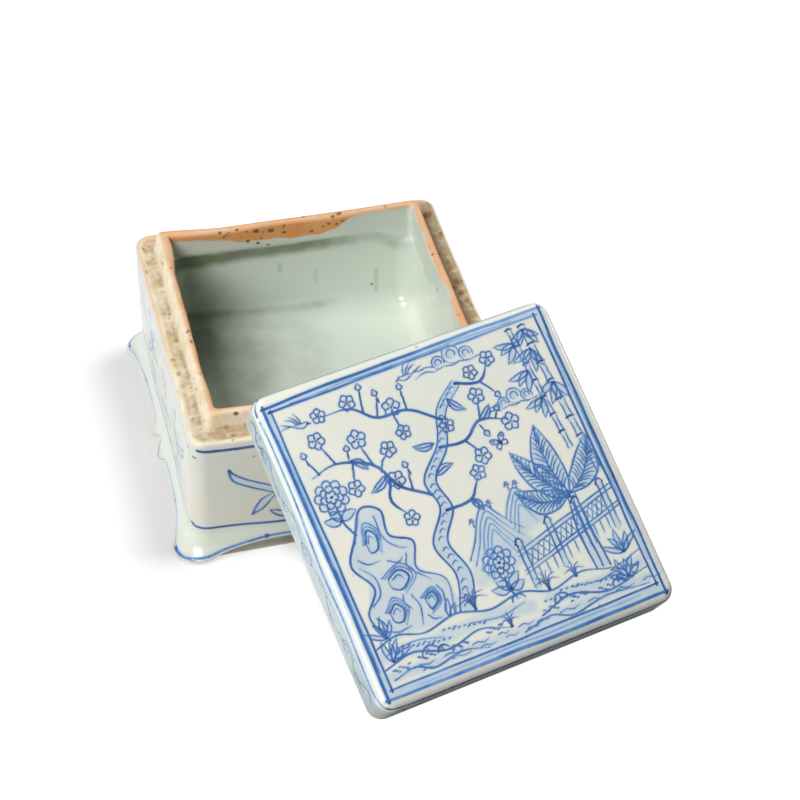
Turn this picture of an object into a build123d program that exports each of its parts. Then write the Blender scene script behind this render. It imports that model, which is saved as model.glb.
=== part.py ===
from build123d import *
import os
from math import asin, cos, degrees, radians, sin

# A nearly square porcelain box with a loose cover. The body stands on a flared bracket foot and
# has a raised flange inside an unglazed ledge. The cover is off and leans on the flange.
# Millimetres, origin at the middle of the foot on the table, front face towards -Y.

# Plan of the body and of the cover, which are flush when the box is closed
width = 84.0
depth = 84.6
corner = 4.0  # plan radius of the outer corners
half_width = width / 2
half_depth = depth / 2
corner_x = half_width - corner
corner_y = half_depth - corner

# Wall and foot: heights above the table, and distances out from the wall's top
ledge_height = 38.3
flare_top = 9.0  # where the straight wall ends and the foot begins to flare
flare_start_out = 0.6
toe_out = 4.8
toe_height = 1.2
toe_bulge = 0.2
toe_under = 0.4
ledge_round = 0.6

# Bracket outline of the foot: two arches on each side, with a lobe between them
plinth_out = 2.2  # the plain foot ring behind the arches
lobe_half_width = 2.6  # its flat lower edge
lobe_height = 0.4
cusp_from_middle = 6.5
cusp_height = 2.5
arch_peak_from_middle = 19.0
arch_height = 3.6
arch_end_from_middle = 42.5
arch_end_height = -0.4  # just under the table, so that the arch runs out at the foot
arch_end_slope = -0.12

# Recess under the base
ring_inside = 80.0
recess_corner = 5.0
recess_depth = 3.2
recess_round = 1.5

# Flange inside the ledge
flange_side = 75.4  # outer side at the ledge
flange_corner = 2.6
flange_height = 4.7
flange_draft = 14.0
flange_round = 0.7
flange_top = ledge_height + flange_height

# Inside of the body: a rim opening with a wider chamber below it
mouth_side = 68.8
mouth_corner = 1.5
shoulder_height = 35.2
chamber_side = 70.6
chamber_corner = 6.0
chamber_draft = 1.2
floor_height = 10.5
floor_round = 5.0

# Cover
cover_height = 12.0
skirt = 3.7  # thickness of the cover's sides
panel = 3.6  # thickness of its top
cover_round = 2.5
lip_round = 0.5
inside_corner = 3.0
inside_round = 2.4

# Where the cover leans: the lower lip stands on the table and the upper lip on the flange
lean_gap = 0.2
lean_turn = 13.7  # turn of the cover about the vertical
lower_lip_x = 29.1  # middle of the lower lip
lower_lip_y = -100.0
lean_angle = degrees(asin((flange_top + lean_gap) / (depth - skirt)))
lip_drop = lip_round * (sin(radians(lean_angle)) + cos(radians(lean_angle)) - 1)


def level_face(body, height):
    """The horizontal face of a body that lies nearest to a height."""
    return body.faces().filter_by(Axis.Z).sort_by(lambda face: abs(face.center().Z - height))[0]


with BuildPart() as box_body:
    # Quarter of the wall and foot: half of the back, half of the right side, and the corner.
    # The profile's x = 0 is the vertical through the middle of the corner's radius.
    back_run = Plane(origin=(0, corner_y, 0), x_dir=(0, 1, 0), z_dir=(1, 0, 0))
    right_run = Plane(origin=(corner_x, 0, 0), x_dir=(1, 0, 0), z_dir=(0, -1, 0))
    flare_start = (corner + flare_start_out, flare_top)
    toe = (corner + toe_out, toe_height)
    toe_side = (corner + toe_out + toe_bulge, toe_height / 2)
    toe_bottom = (corner + toe_out - toe_under, 0)
    for run, length in ((back_run, corner_x), (right_run, -corner_y)):
        with BuildSketch(run) as wall_profile:
            with BuildLine():
                Polyline((0, 0), (0, ledge_height), (corner, ledge_height), flare_start)
                TangentArc(flare_start, toe, tangent=(0, -1))
                ThreePointArc(toe, toe_side, toe_bottom)
                Line(toe_bottom, (0, 0))
            make_face()
        extrude(amount=length)
    corner_profile = wall_profile.sketch.moved(Location((0, corner_y, 0)))
    corner_axis = Axis((corner_x, corner_y, 0), (0, 0, 1))
    revolve(corner_profile, axis=corner_axis, revolution_arc=90)
    with BuildSketch():
        Rectangle(corner_x, corner_y, align=Align.MIN)
    extrude(amount=ledge_height)
    mirror(about=Plane.YZ)
    mirror(about=Plane.XZ)

    # Bracket arches, pressed into the flare as far as the plain foot ring
    lobe_bottom = (lobe_half_width, arch_end_height)
    lobe_edge = (lobe_half_width, lobe_height)
    cusp = (cusp_from_middle, cusp_height)
    peak = (arch_peak_from_middle, arch_height)
    arch_end = (arch_end_from_middle, arch_end_height)
    for turn, wall in ((0, half_width), (90, half_depth), (180, half_width), (270, half_depth)):
        outward = Vector(1, 0, 0).rotate(Axis.Z, turn)
        along = Vector(0, 1, 0).rotate(Axis.Z, turn)
        ring_face = Plane(origin=outward * (wall + plinth_out), x_dir=along, z_dir=outward)
        with BuildSketch(ring_face):
            with BuildLine():
                Line(lobe_bottom, lobe_edge)
                TangentArc(lobe_edge, cusp, tangent=(1, 0))
                TangentArc(peak, cusp, tangent=(-1, 0))
                Spline(peak, arch_end, tangents=[(1, 0), (1, arch_end_slope)])
                Line(arch_end, lobe_bottom)
            make_face()
            mirror(about=Plane.YZ)
        extrude(amount=toe_out, mode=Mode.SUBTRACT)

    # Flange with drafted sides
    with BuildSketch(Plane.XY.offset(ledge_height)):
        RectangleRounded(flange_side, flange_side, flange_corner)
    extrude(amount=flange_height, taper=flange_draft)

    # Chamber, mouth and the recess underneath
    with BuildSketch(Plane.XY.offset(shoulder_height)):
        RectangleRounded(chamber_side, chamber_side, chamber_corner)
    extrude(amount=floor_height - shoulder_height, taper=chamber_draft, mode=Mode.SUBTRACT)
    with BuildSketch(Plane.XY.offset(shoulder_height)):
        RectangleRounded(mouth_side, mouth_side, mouth_corner)
    extrude(amount=flange_top - shoulder_height, mode=Mode.SUBTRACT)
    with BuildSketch():
        RectangleRounded(ring_inside, ring_inside, recess_corner)
    extrude(amount=recess_depth, mode=Mode.SUBTRACT)

    # Soft edges: chamber floor, recess roof, flange top and the ledge's outer arris
    fillet(level_face(box_body, floor_height).edges(), floor_round)
    fillet(level_face(box_body, recess_depth).edges(), recess_round)
    fillet(level_face(box_body, flange_top).edges(), flange_round)
    fillet(level_face(box_body, ledge_height).outer_wire().edges(), ledge_round)

box_body.part.label = "box_body"

# The cover's own plane: x along its lower lip, y up the slope, z out of its top
along_lip = Vector(1, 0, 0).rotate(Axis.Z, lean_turn)
up_slope = Vector(0, 1, 0).rotate(Axis.X, lean_angle).rotate(Axis.Z, lean_turn)
lower_lip = Vector(lower_lip_x, lower_lip_y, -lip_drop)
lean = Plane(
    origin=lower_lip + up_slope * half_depth, x_dir=along_lip, z_dir=along_lip.cross(up_slope)
)
out_of_top = Axis(lean.origin, lean.z_dir)

with BuildPart() as cover:
    with BuildSketch(lean):
        RectangleRounded(width, depth, corner)
    extrude(amount=cover_height)
    fillet(cover.faces().sort_by(out_of_top)[-1].edges(), cover_round)
    with BuildSketch(lean):
        RectangleRounded(width - 2 * skirt, depth - 2 * skirt, inside_corner)
    extrude(amount=cover_height - panel, mode=Mode.SUBTRACT)
    lip, inside_top, top = cover.faces().filter_by(out_of_top).sort_by(out_of_top)
    fillet(inside_top.edges(), inside_round)
    fillet(cover.faces().filter_by(out_of_top).sort_by(out_of_top)[0].edges(), lip_round)

cover.part.label = "cover"

os.makedirs("parts", exist_ok=True)
export_step(box_body.part, "parts/box_body.step")
export_step(cover.part, "parts/cover.step")
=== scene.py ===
import bpy
import numpy as np
from math import asin, cos, hypot, pi, radians, sin, tan
from mathutils import Matrix, Vector


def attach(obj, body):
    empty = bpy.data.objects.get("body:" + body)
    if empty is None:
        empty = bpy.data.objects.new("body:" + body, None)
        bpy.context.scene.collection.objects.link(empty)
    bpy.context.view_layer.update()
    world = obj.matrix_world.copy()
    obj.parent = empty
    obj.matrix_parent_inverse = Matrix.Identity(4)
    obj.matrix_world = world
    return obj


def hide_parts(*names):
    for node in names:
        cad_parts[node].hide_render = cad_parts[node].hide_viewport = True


# A porcelain box with its cover off, painted in underglaze blue. Sizes are in millimetres until a
# mesh is made, and +Z is up. Side numbers: 0 right, 1 back, 2 left, 3 front.

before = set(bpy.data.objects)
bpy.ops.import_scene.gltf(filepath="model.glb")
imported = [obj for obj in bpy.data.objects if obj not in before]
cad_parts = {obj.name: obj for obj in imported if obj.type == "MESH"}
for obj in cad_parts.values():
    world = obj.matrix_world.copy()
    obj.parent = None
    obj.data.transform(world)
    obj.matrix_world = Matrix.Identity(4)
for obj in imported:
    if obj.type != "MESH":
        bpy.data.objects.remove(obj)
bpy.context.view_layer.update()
MM = 0.001

# Body
half_x, half_y = 42.0, 42.3
corner = 4.0
ledge_height = 38.3
ledge_round = 0.6
flare_top = 9.0
flare_start_out = 0.6
toe_out, toe_height = 4.8, 1.2
plinth_out = 2.2
flange_half, flange_corner = 37.7, 2.6
flange_height, flange_draft, flange_round = 4.7, 14.0, 0.7
flange_top = ledge_height + flange_height
mouth_half, mouth_corner = 34.4, 1.5
chamber_half, chamber_corner, chamber_draft = 35.3, 6.0, 1.2
shoulder_height = 35.2
floor_height, floor_round = 10.5, 5.0
recess_half, recess_corner, recess_depth, recess_round = 40.0, 5.0, 3.2, 1.5

# Cover and the way it leans
cover_height, cover_round = 12.0, 2.5
skirt, panel, lip_round = 3.7, 3.6, 0.5
inside_corner, inside_round = 3.0, 2.4
lean_gap, lean_turn = 0.2, 13.7
lower_lip = (29.1, -100.0)
lean_angle = asin((flange_top + lean_gap) / (2 * half_y - skirt))
lip_drop = lip_round * (sin(lean_angle) + cos(lean_angle) - 1)

# Mesh density, as points on each side and round each corner, and widths of the bake maps
body_points, cover_points, hidden_points = (190, 12), (240, 12), (60, 8)
body_map, cover_map = 300.0, 200.0

# Camera, found from the edges in the photograph
photo_px = 800
focal_px = 2489.5
camera_elevation, camera_azimuth, camera_roll = 42.445, -13.813, -0.263
camera_distance = 690.55
aim_right, aim_up = 22.033, 5.453


def smooth(value, low, high):
    """0 below low, 1 above high, and an even curve between."""
    t = np.clip((value - low) / (high - low), 0, 1)
    return t * t * (3 - 2 * t)


def ripple(x, seed, length):
    """An irregular smooth wave of about -1 to 1, the same on every run."""
    turns = (1.0, 1.73, 2.91)
    phases = (0.7, 2.3, 4.1)
    waves = [np.sin(2 * pi * k * x / length + p * (1 + seed)) / k for k, p in zip(turns, phases)]
    return sum(waves) / 1.6


def polar(x, y, radius, angle):
    """The point at a distance and an angle from another."""
    return x + radius * cos(angle), y + radius * sin(angle)


def rounding(count, start=0.0, end=90.0):
    """Even steps round an edge: the angle in degrees, its cosine and its sine."""
    for angle in np.linspace(start, end, count):
        yield angle, cos(radians(angle)), sin(radians(angle))


# Meshes


class Sheet:
    """Gathers grids of points into one mesh with vertex values and a bake map."""

    def __init__(self):
        self.points, self.faces, self.maps, self.values = [], [], [], {}
        self.count = 0
        self.shelf = [0.0, 0.0, 0.0]

    def place(self, width, height, limit):
        """A free rectangle of the bake map, filled row by row, in millimetres."""
        gap = 1.0
        x, y, tall = self.shelf
        if x and x + width > limit:
            x, y, tall = 0.0, y + tall + gap, 0.0
        self.shelf = [x + width + gap, y, max(tall, height)]
        return x, y

    def add(self, grid, loops, uv, **values):
        """grid is rows by columns by xyz. loops is (row, column) arrays of the faces' corners."""
        rows, columns = grid.shape[:2]
        row, column = loops
        self.points.append(grid.reshape(-1, 3))
        self.faces.append(self.count + row * columns + column % columns)
        self.maps.append(uv)
        for name in VALUES:
            value = np.broadcast_to(values.get(name, VALUES[name]), (rows, columns))
            self.values.setdefault(name, []).append(np.asarray(value, float).ravel())
        self.count += rows * columns

    def object(self, name, place, material):
        points = np.concatenate(self.points)
        faces = np.concatenate(self.faces)
        uv = np.concatenate(self.maps)
        uv = (uv - uv.min((0, 1)) + 0.5) / ((uv.max((0, 1)) - uv.min((0, 1))).max() + 1.0)
        mesh = bpy.data.meshes.new(name)
        mesh.vertices.add(len(points))
        mesh.vertices.foreach_set("co", (points * MM).astype(np.float32).ravel())
        mesh.loops.add(faces.size)
        mesh.loops.foreach_set("vertex_index", faces.astype(np.int32).ravel())
        mesh.polygons.add(len(faces))
        mesh.polygons.foreach_set("loop_start", np.arange(0, faces.size, 4, dtype=np.int32))
        mesh.update(calc_edges=True)
        mesh.polygons.foreach_set("use_smooth", np.ones(len(faces), bool))
        layer = mesh.uv_layers.new(name="OFBake")
        layer.data.foreach_set("uv", uv.astype(np.float32).ravel())
        for key, parts in self.values.items():
            attribute = mesh.attributes.new(key, "FLOAT", "POINT")
            attribute.data.foreach_set("value", np.concatenate(parts).astype(np.float32))
        mesh.validate()
        mesh.materials.append(material)
        result = bpy.data.objects.new(name, mesh)
        result.matrix_world = place
        bpy.context.scene.collection.objects.link(result)
        return result


# Vertex values and their value on plain glaze: distance to the edge of the nearest brush line, its
# darkness, blue wash, depth into bare clay, distance to an iron speck and to a rusty stain, green depth
# of the glaze with painted shade added, how burnt the clay is, and how soiled the surface is with
# painted shade added. A brush paints five of them.
FAR = 3.0
VALUES = {"ink": FAR, "tone": 0.0, "wash": 0.0, "bare": -FAR, "speck": FAR, "stain": FAR, "tint": 0.0,
          "burn": 0.0, "dirt": 0.0}
PAINTED = ("ink", "tone", "wash", "speck", "stain")


class Outline:
    """Points round a rounded rectangle, anticlockwise from the right side's front end."""

    def __init__(self, per_side, per_corner):
        t, bend = 2 * np.arange(per_side) / per_side - 1, np.arange(per_corner) / per_corner * pi / 2
        runs = []
        for number in range(4):
            turn = number * pi / 2
            c, s = round(cos(turn)), round(sin(turn))
            runs.append(np.stack([c - s * t, s + c * t, c + 0 * t, s + 0 * t, number + 0 * t]))
            nearest = (number + (bend >= pi / 4)) % 4
            normal = np.cos(turn + bend), np.sin(turn + bend)
            runs.append(np.stack([c - s + 0 * bend, s + c + 0 * bend, *normal, nearest]))
        self.ex, self.ey, self.nx, self.ny, side = np.hstack(runs)
        self.side = side.astype(int)
        self.count = len(side)

    def at(self, size_x, size_y, radius):
        """Plan points at half sizes and a corner radius, which may vary from point to point."""
        x = self.ex * (size_x - radius) + self.nx * radius
        return x, self.ey * (size_y - radius) + self.ny * radius

    def along(self, size_x, size_y, radius):
        """Distance along each side from its middle, to the right seen from outside: (side, point)."""
        x, y = self.at(size_x, size_y, radius)
        step = np.hypot(np.roll(x, -1) - x, np.roll(y, -1) - y)
        distance = np.concatenate([[0], np.cumsum(step)])
        total = distance[-1]
        straight = (2 * (size_y - radius), 2 * (size_x - radius)) * 2
        middles = [distance[s * self.count // 4] + straight[s] / 2 for s in range(4)]
        relative = distance[:-1] - np.array(middles)[:, None]
        return (relative + total / 2) % total - total / 2, distance


def quads(rows, columns):
    """Rows and columns of the four corners of every face in a grid of faces."""
    r, c = (index.ravel() for index in np.meshgrid(np.arange(rows), np.arange(columns), indexing="ij"))
    return np.stack([r, r, r + 1, r + 1], 1), np.stack([c, c + 1, c + 1, c], 1)


def run_along(points):
    """Distance from the first of a row of points to each of them."""
    return np.concatenate([[0], np.cumsum(np.linalg.norm(np.diff(points, axis=0), axis=1))])


def strip(sheet, outline, grid, along, limit, **values):
    """A band of rings round the outline. Its bake map has one rectangle for each side."""
    rows, columns = grid.shape[:2]
    rise = np.linalg.norm(np.diff(grid, axis=0), axis=2).mean(1)
    height = np.concatenate([[0], np.cumsum(rise)])
    row, column = quads(rows - 1, columns)
    c = column[:, 0]
    relative, distance = along
    uv = np.zeros(row.shape + (2,))
    for side in range(4):
        mine = outline.side[c] == side
        u0 = relative[side, c[mine]]
        u1 = u0 + (distance[c[mine] + 1] - distance[c[mine]])
        x, y = sheet.place(u1.max() - u0.min(), height[-1], limit)
        shift = x - u0.min()
        uv[mine, :, 0] = np.stack([u0, u1, u1, u0], 1) + shift
        uv[mine, :, 1] = height[row[mine]] + y
    sheet.add(grid, (row, column), uv, **values)


def disc(sheet, rings, limit, **values):
    """Rings that close in to a middle point, with a flat bake map."""
    rows, columns = rings.shape[:2]
    row, column = quads(rows - 1, columns)
    flat = rings[:, :, :2]
    size = flat.max((0, 1)) - flat.min((0, 1))
    uv = flat[row, column % columns] - flat.min((0, 1)) + sheet.place(size[0], size[1], limit)
    sheet.add(rings, (row, column), uv, **values)


# Brushwork


def path_through(points, step=0.5):
    """Even points on a smooth curve through a few given ones."""
    points = np.asarray(points, float)
    if len(points) < 3:
        count = max(2, int(np.linalg.norm(points[-1] - points[0]) / step) + 1)
        return points[0] + (points[-1] - points[0]) * np.linspace(0, 1, count)[:, None]
    ends = np.vstack([2 * points[0] - points[1], points, 2 * points[-1] - points[-2]])
    out = []
    for a, b, c, d in zip(ends, ends[1:], ends[2:], ends[3:]):
        count = max(2, int(np.linalg.norm(c - b) / step) + 1)
        t = np.linspace(0, 1, count, endpoint=False)[:, None]
        out.append(0.5 * (2 * b + (c - a) * t + (2 * a - 5 * b + 4 * c - d) * t ** 2
                          + (3 * b - a - 3 * c + d) * t ** 3))
    return np.vstack(out + [points[-1:]])


class Strokes:
    """What a brush and a turned brush share."""

    def lines(self, *many, **style):
        for points in many:
            self.line(points, **style)


class Brush(Strokes):
    """Paints lines, washes and specks on the points of a surface laid flat."""

    def __init__(self, x, y):
        self.shape = x.shape
        self.x, self.y = x.ravel(), y.ravel()
        self.ink = np.full(x.size, FAR)
        self.tone = np.zeros(x.size)
        self.wash = np.zeros(x.size)
        self.speck = np.full(x.size, FAR)
        self.stain = np.full(x.size, FAR)
        self.strokes = 0

    def near(self, path, reach):
        """Numbers of the points in a box round a path."""
        low, high = path.min(0) - reach, path.max(0) + reach
        inside = (self.x > low[0]) & (self.x < high[0]) & (self.y > low[1]) & (self.y < high[1])
        return np.nonzero(inside)[0]

    def distance(self, index, path):
        """Distance from points to a path, and how far along it they are, 0 to 1."""
        start, run = path[:-1], np.diff(path, axis=0)
        length = np.maximum((run ** 2).sum(1), 1e-9)
        px = self.x[index, None] - start[:, 0]
        py = self.y[index, None] - start[:, 1]
        t = np.clip((px * run[:, 0] + py * run[:, 1]) / length, 0, 1)
        gap = np.hypot(px - t * run[:, 0], py - t * run[:, 1])
        best = gap.argmin(1)
        here = np.arange(len(index))
        return gap[here, best], (best + t[here, best]) / len(run)

    def line(self, points, width=0.5, tone=0.5, taper=(0.8, 0.5), pool=(0.2, 0.1), shake=0.06, fade=0.0):
        """One brush stroke: its width swells in the middle, its ends pool darker, and it may fade."""
        path = path_through(points)
        self.strokes += 1
        s = np.linspace(0, 1, len(path))
        wave = shake * np.stack([ripple(s * 40, self.strokes, 17.0),
                                 ripple(s * 40, self.strokes + 5, 19.0)], 1)
        path = path + wave
        index = self.near(path, FAR * 0.5)
        if not len(index):
            return
        gap, s = self.distance(index, path)
        swell = taper[0] + (1 - taper[0]) * smooth(s, 0, 0.3)
        swell = np.minimum(swell, taper[1] + (1 - taper[1]) * smooth(1 - s, 0, 0.4))
        long = len(path) * 0.5
        first, last = (np.exp(-(t * long / 0.9) ** 2) for t in (s, 1 - s))
        dark = tone + pool[0] * first + pool[1] * last
        dark = dark + 0.08 * ripple(s * long, self.strokes + 3, 14.0) - fade * s
        edge = gap - swell * width / 2
        nearer = edge < self.ink[index]
        chosen = index[nearer]
        self.ink[chosen] = edge[nearer]
        self.tone[chosen] = dark[nearer]

    def fill(self, points, level=0.35, soft=0.7):
        """A pale wash inside an outline."""
        path = path_through([*points, points[0]])
        index = self.near(path, soft)
        if not len(index):
            return
        gap, _ = self.distance(index, path)
        inside = np.zeros(len(index), bool)
        x, y = self.x[index], self.y[index]
        for (ax, ay), (bx, by) in zip(path, path[1:]):
            crosses = (ay > y) != (by > y)
            with np.errstate(divide="ignore", invalid="ignore"):
                inside ^= crosses & (x < (bx - ax) * (y - ay) / (by - ay) + ax)
        amount = level * smooth(np.where(inside, gap, -gap), -soft, soft)
        self.wash[index] = np.maximum(self.wash[index], amount)

    def band(self, points, width, level=0.35, soft=0.4):
        """A pale wash drawn with one broad brush stroke."""
        path = path_through(points)
        index = self.near(path, width)
        if len(index):
            gap, _ = self.distance(index, path)
            amount = level * smooth(width / 2 - gap, -soft, soft)
            self.wash[index] = np.maximum(self.wash[index], amount)

    def dot(self, x, y, size=0.6, tone=0.6):
        """A short touch of the brush."""
        self.line([(x - 0.1, y), (x + 0.1, y + 0.02)], width=size, tone=tone, taper=(1, 1), pool=(0, 0),
                  shake=0)

    def iron(self, x, y, size, rusty=False):
        """A dark iron speck burnt through the surface, or a rusty stain."""
        index = self.near(np.array([[x, y]]), FAR * 0.5)
        gap = np.hypot((self.x[index] - x) / 1.6, self.y[index] - y) - size * 0.42
        field = self.stain if rusty else self.speck
        field[index] = np.minimum(field[index], gap)

    def values(self):
        return {key: getattr(self, key).reshape(self.shape) for key in PAINTED}


class Turned(Strokes):
    """A brush whose drawing is moved, turned and scaled."""

    def __init__(self, brush, x, y, angle=0.0, scale=1.0, flip=1.0):
        self.brush, self.x, self.y, self.scale, self.flip = brush, x, y, scale, flip
        self.c, self.s = cos(radians(angle)), sin(radians(angle))

    def move(self, points):
        points = np.asarray(points, float) * (self.scale * self.flip, self.scale)
        x = points[:, 0] * self.c - points[:, 1] * self.s + self.x
        y = points[:, 0] * self.s + points[:, 1] * self.c + self.y
        return np.stack([x, y], 1)

    def line(self, points, **style):
        self.brush.line(self.move(points), **style)

    def fill(self, points, **style):
        self.brush.fill(list(self.move(points)), **style)

    def dot(self, x, y, **style):
        px, py = self.move([(x, y)])[0]
        self.brush.dot(px, py, **style)


# Motifs


def leaf(brush, base, tip, breadth, bend=0.0, veins=0, level=0.0, rib=True, **style):
    """A leaf of two curved edges, with a rib and side veins."""
    base, tip = np.array(base, float), np.array(tip, float)
    run = tip - base
    length = hypot(*run)
    across = np.array([-run[1], run[0]]) / length
    spots = (0, 0.2, 0.5, 0.8, 1)
    swell = (0, 0.75, 1, 0.6, 0)
    rise = (0, 0.64, 1, 0.64, 0)
    spine = [base + run * t + across * bend * r for t, r in zip(spots, rise)]
    upper = [p + across * breadth / 2 * w for p, w in zip(spine, swell)]
    lower = [p - across * breadth / 2 * w for p, w in zip(spine, swell)]
    if level:
        brush.fill(upper + lower[::-1], level=level, soft=0.5)
    brush.line(upper, **style)
    brush.line(lower, **style)
    if rib:
        brush.line(spine[:-1] + [spine[-1] * 0.6 + spine[-2] * 0.4], **style)
    rib_path = path_through(spine)
    up_path, low_path = path_through(upper), path_through(lower)
    for k in range(veins):
        t = 0.12 + 0.72 * k / max(1, veins - 1)
        a = rib_path[int(t * (len(rib_path) - 1))]
        reach = min(1.0, t + 0.14)
        for edge in (up_path, low_path):
            b = edge[int(reach * (len(edge) - 1))]
            brush.line([a, a * 0.45 + b * 0.55 + run / length * 0.4, a * 0.1 + b * 0.9],
                       **{**style, "width": 0.4})


def blossom(brush, x, y, size, turn=0.0, petals=5, level=0.25, **style):
    """A round-petalled flower with its stamens."""
    for k in range(petals):
        angle = turn + 2 * pi * k / petals
        half = pi / petals
        edge = [polar(x, y, size * r, angle + half * h)
                for r, h in ((0.28, -0.6), (0.75, -0.95), (1.0, 0), (0.75, 0.95), (0.28, 0.6))]
        brush.fill(edge, level=level, soft=0.4)
        brush.line(edge, width=0.45, **style)
        brush.line([polar(x, y, size * r, angle + half) for r in (0.3, 0.55)], width=0.35, **style)
    brush.dot(x, y, size=0.55, tone=0.75)


def peony(brush, x, y, size, turn=0.0):
    """A full flower of rounded petals in three rings."""
    for ring, (radius, petals) in enumerate(((1.0, 9), (0.68, 7), (0.38, 5))):
        for k in range(petals):
            angle, half = turn + 0.4 * ring + 2 * pi * k / petals, pi / petals
            edge = [polar(x, y, size * radius * r, angle + half * h)
                    for r, h in ((0.62, -1), (0.92, -0.75), (1.04, 0), (0.92, 0.75), (0.62, 1))]
            brush.line(edge, width=0.44, tone=0.5 + 0.06 * ring)
            brush.fill(edge, level=0.3 + 0.12 * ring, soft=0.4)
    brush.dot(x, y, size=0.8, tone=0.8)


def bud(brush, x, y, size, turn):
    """A closed bud on a short stalk."""
    t = Turned(brush, x, y, turn, size)
    t.line([(-1.4, 0), (0, 0)], width=0.5, tone=0.7)
    t.line([(0, 0), (0.5, 0.55), (1.4, 0)], width=0.45, tone=0.6)
    t.line([(0, 0), (0.5, -0.55), (1.4, 0)], width=0.45, tone=0.6)
    t.fill([(0, 0), (0.5, 0.5), (1.4, 0), (0.5, -0.5)], level=0.5, soft=0.3)


def tuft(brush, x, y, height, blades=7, spread=65.0, tone=0.6):
    """Grass blades that fan out from one foot."""
    for k in range(blades):
        t = k / (blades - 1) - 0.5
        angle = radians(90 - spread * 2 * t)
        reach = height * (1 - 0.9 * t * t)
        tip = polar(x, y, reach, angle)
        middle = (x + 0.5 * reach * cos(angle * 0.6 + 0.4 * pi / 2), y + 0.62 * reach)
        brush.line([(x, y), middle, tip], width=0.36, tone=tone, taper=(1, 0.5), pool=(0.3, 0))
    brush.dot(x, y, size=0.8, tone=0.85)


def speckle(brush, x0, x1, y0, y1, count, seed):
    """Short flicks for moss and earth."""
    for k in range(count):
        a = (k * 0.618034 + seed * 0.37) % 1
        b = (k * 0.754878 + seed * 0.53) % 1
        x, y = x0 + (x1 - x0) * a, y0 + (y1 - y0) * b
        brush.line([(x - 0.35, y), (x + 0.3, y + 0.08)], width=0.42, tone=0.55, taper=(1, 0.6), pool=(0, 0),
                   shake=0)


def cloud(brush, x, y, scale, flip=1.0):
    """A scrolled cloud in three heads with a trailing tail."""
    t = Turned(brush, x, y, 0, scale, flip)
    style = dict(width=0.38, tone=0.46)
    t.line([(-8, -1.4), (-4.5, -1.9), (-2, -1.3), (0, -1.8), (3, -1.4), (6, -1.9)], **style)
    for cx, cy, r in ((-4.6, 0.2, 1.9), (-0.4, 1.2, 2.5), (3.9, 0.1, 1.8)):
        for shrink in (1.0, 0.5):
            q = r * shrink
            arc = [polar(cx, cy, q, a) for a in np.linspace(pi * 1.15, -0.2 * pi - shrink, 9)]
            t.line(arc, **style)
        t.fill([(cx - r, cy), (cx, cy + r), (cx + r, cy), (cx, cy - r * 0.5)], level=0.5, soft=0.6)
    t.lines([(6, -1.9), (8.5, -1.2), (11.5, -2.1)], [(5.4, -0.6), (8, 0.0), (10, -0.6)], **style)


def bird(brush, x, y, scale, angle, flip=1.0):
    """A small bird in flight, seen from the side."""
    t = Turned(brush, x, y, angle, scale, flip)
    style = dict(width=0.36, tone=0.62)
    t.line([(4.6, 0.6), (3.6, 1.5), (2.4, 1.3), (0, 0.9), (-3.0, 0.2)], **style)
    t.line([(4.6, 0.6), (3.4, 0.1), (1.6, -0.9), (-0.6, -0.7), (-3.0, 0.2)], **style)
    t.line([(4.5, 0.7), (5.5, 0.5)], **style)
    t.dot(3.6, 0.9, size=0.4, tone=0.85)
    for k in range(3):
        t.line([(1.2 - 0.9 * k, 0.9), (0.2 - 1.5 * k, 3.4 - 0.4 * k), (-1.6 - 1.9 * k, 5.4 - 1.2 * k)],
               **style)
    for k in range(2):
        t.line([(-2.6, 0.2), (-5.2, 0.8 - 1.0 * k), (-7.6, 1.2 - 2.2 * k)], **style)
    t.fill([(3.4, 1.2), (0, 0.8), (-3, 0.2), (0, -0.6)], level=0.5, soft=0.4)
    t.fill([(1.2, 0.9), (0.2, 3.4), (-5.0, 3.2), (-1.0, 0.9)], level=0.45, soft=0.4)


def butterfly(brush, x, y, scale, angle):
    """A butterfly with spread wings."""
    style = dict(width=0.42, tone=0.6)
    for flip in (1, -1):
        t = Turned(brush, x, y, angle, scale, flip)
        wing = [(0.2, 0.4), (1.2, 2.6), (3.4, 3.2), (3.2, 1.2), (0.3, 0.1)]
        tail = [(0.3, -0.1), (2.6, -0.3), (2.4, -2.2), (0.9, -1.8), (0.2, -0.5)]
        t.line(wing, **style)
        t.line(tail, **style)
        t.fill(wing, level=0.4, soft=0.4)
        t.dot(2.3, 2.0, size=0.5)
        t.line([(0.1, 0.9), (0.6, 2.0), (1.3, 2.4)], width=0.3, tone=0.6)
    Turned(brush, x, y, angle, scale).line([(0, 1.0), (0, -1.4)], width=0.7, tone=0.8)


def bamboo(brush, foot, top, joints, half):
    """A jointed stalk of two fine lines with a pale wash."""
    foot, top = np.array(foot, float), np.array(top, float)
    run = top - foot
    across = np.array([-run[1], run[0]]) / hypot(*run)
    for k in range(joints):
        a, b = foot + run * (k + 0.06) / joints, foot + run * (k + 0.94) / joints
        for side in (half, -half):
            brush.line([a + across * side * 1.15, (a + b) / 2 + across * side * 0.85,
                        b + across * side * 1.15], width=0.42, tone=0.5)
        brush.fill([a + across * half, b + across * half, b - across * half, a - across * half], level=0.3,
                   soft=0.3)
        ridge = b + run * 0.06 / joints
        brush.line([ridge + across * half * 1.6, ridge + run / hypot(*run) * 0.3,
                    ridge - across * half * 1.6], width=0.55, tone=0.72)


def leaf_fan(brush, x, y, turns, size, breadth=1.6, level=0.55, tone=0.56):
    """Narrow leaves that hang from one point."""
    for k, turn in enumerate(turns):
        tip = polar(x, y, size * (1 - 0.16 * (k % 2)), radians(turn))
        leaf(brush, (x, y), tip, breadth, 0.3 * (-1) ** k, level=level, rib=False,
             width=0.4, tone=tone, taper=(1, 0.6), pool=(0.4, 0.1))


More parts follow.
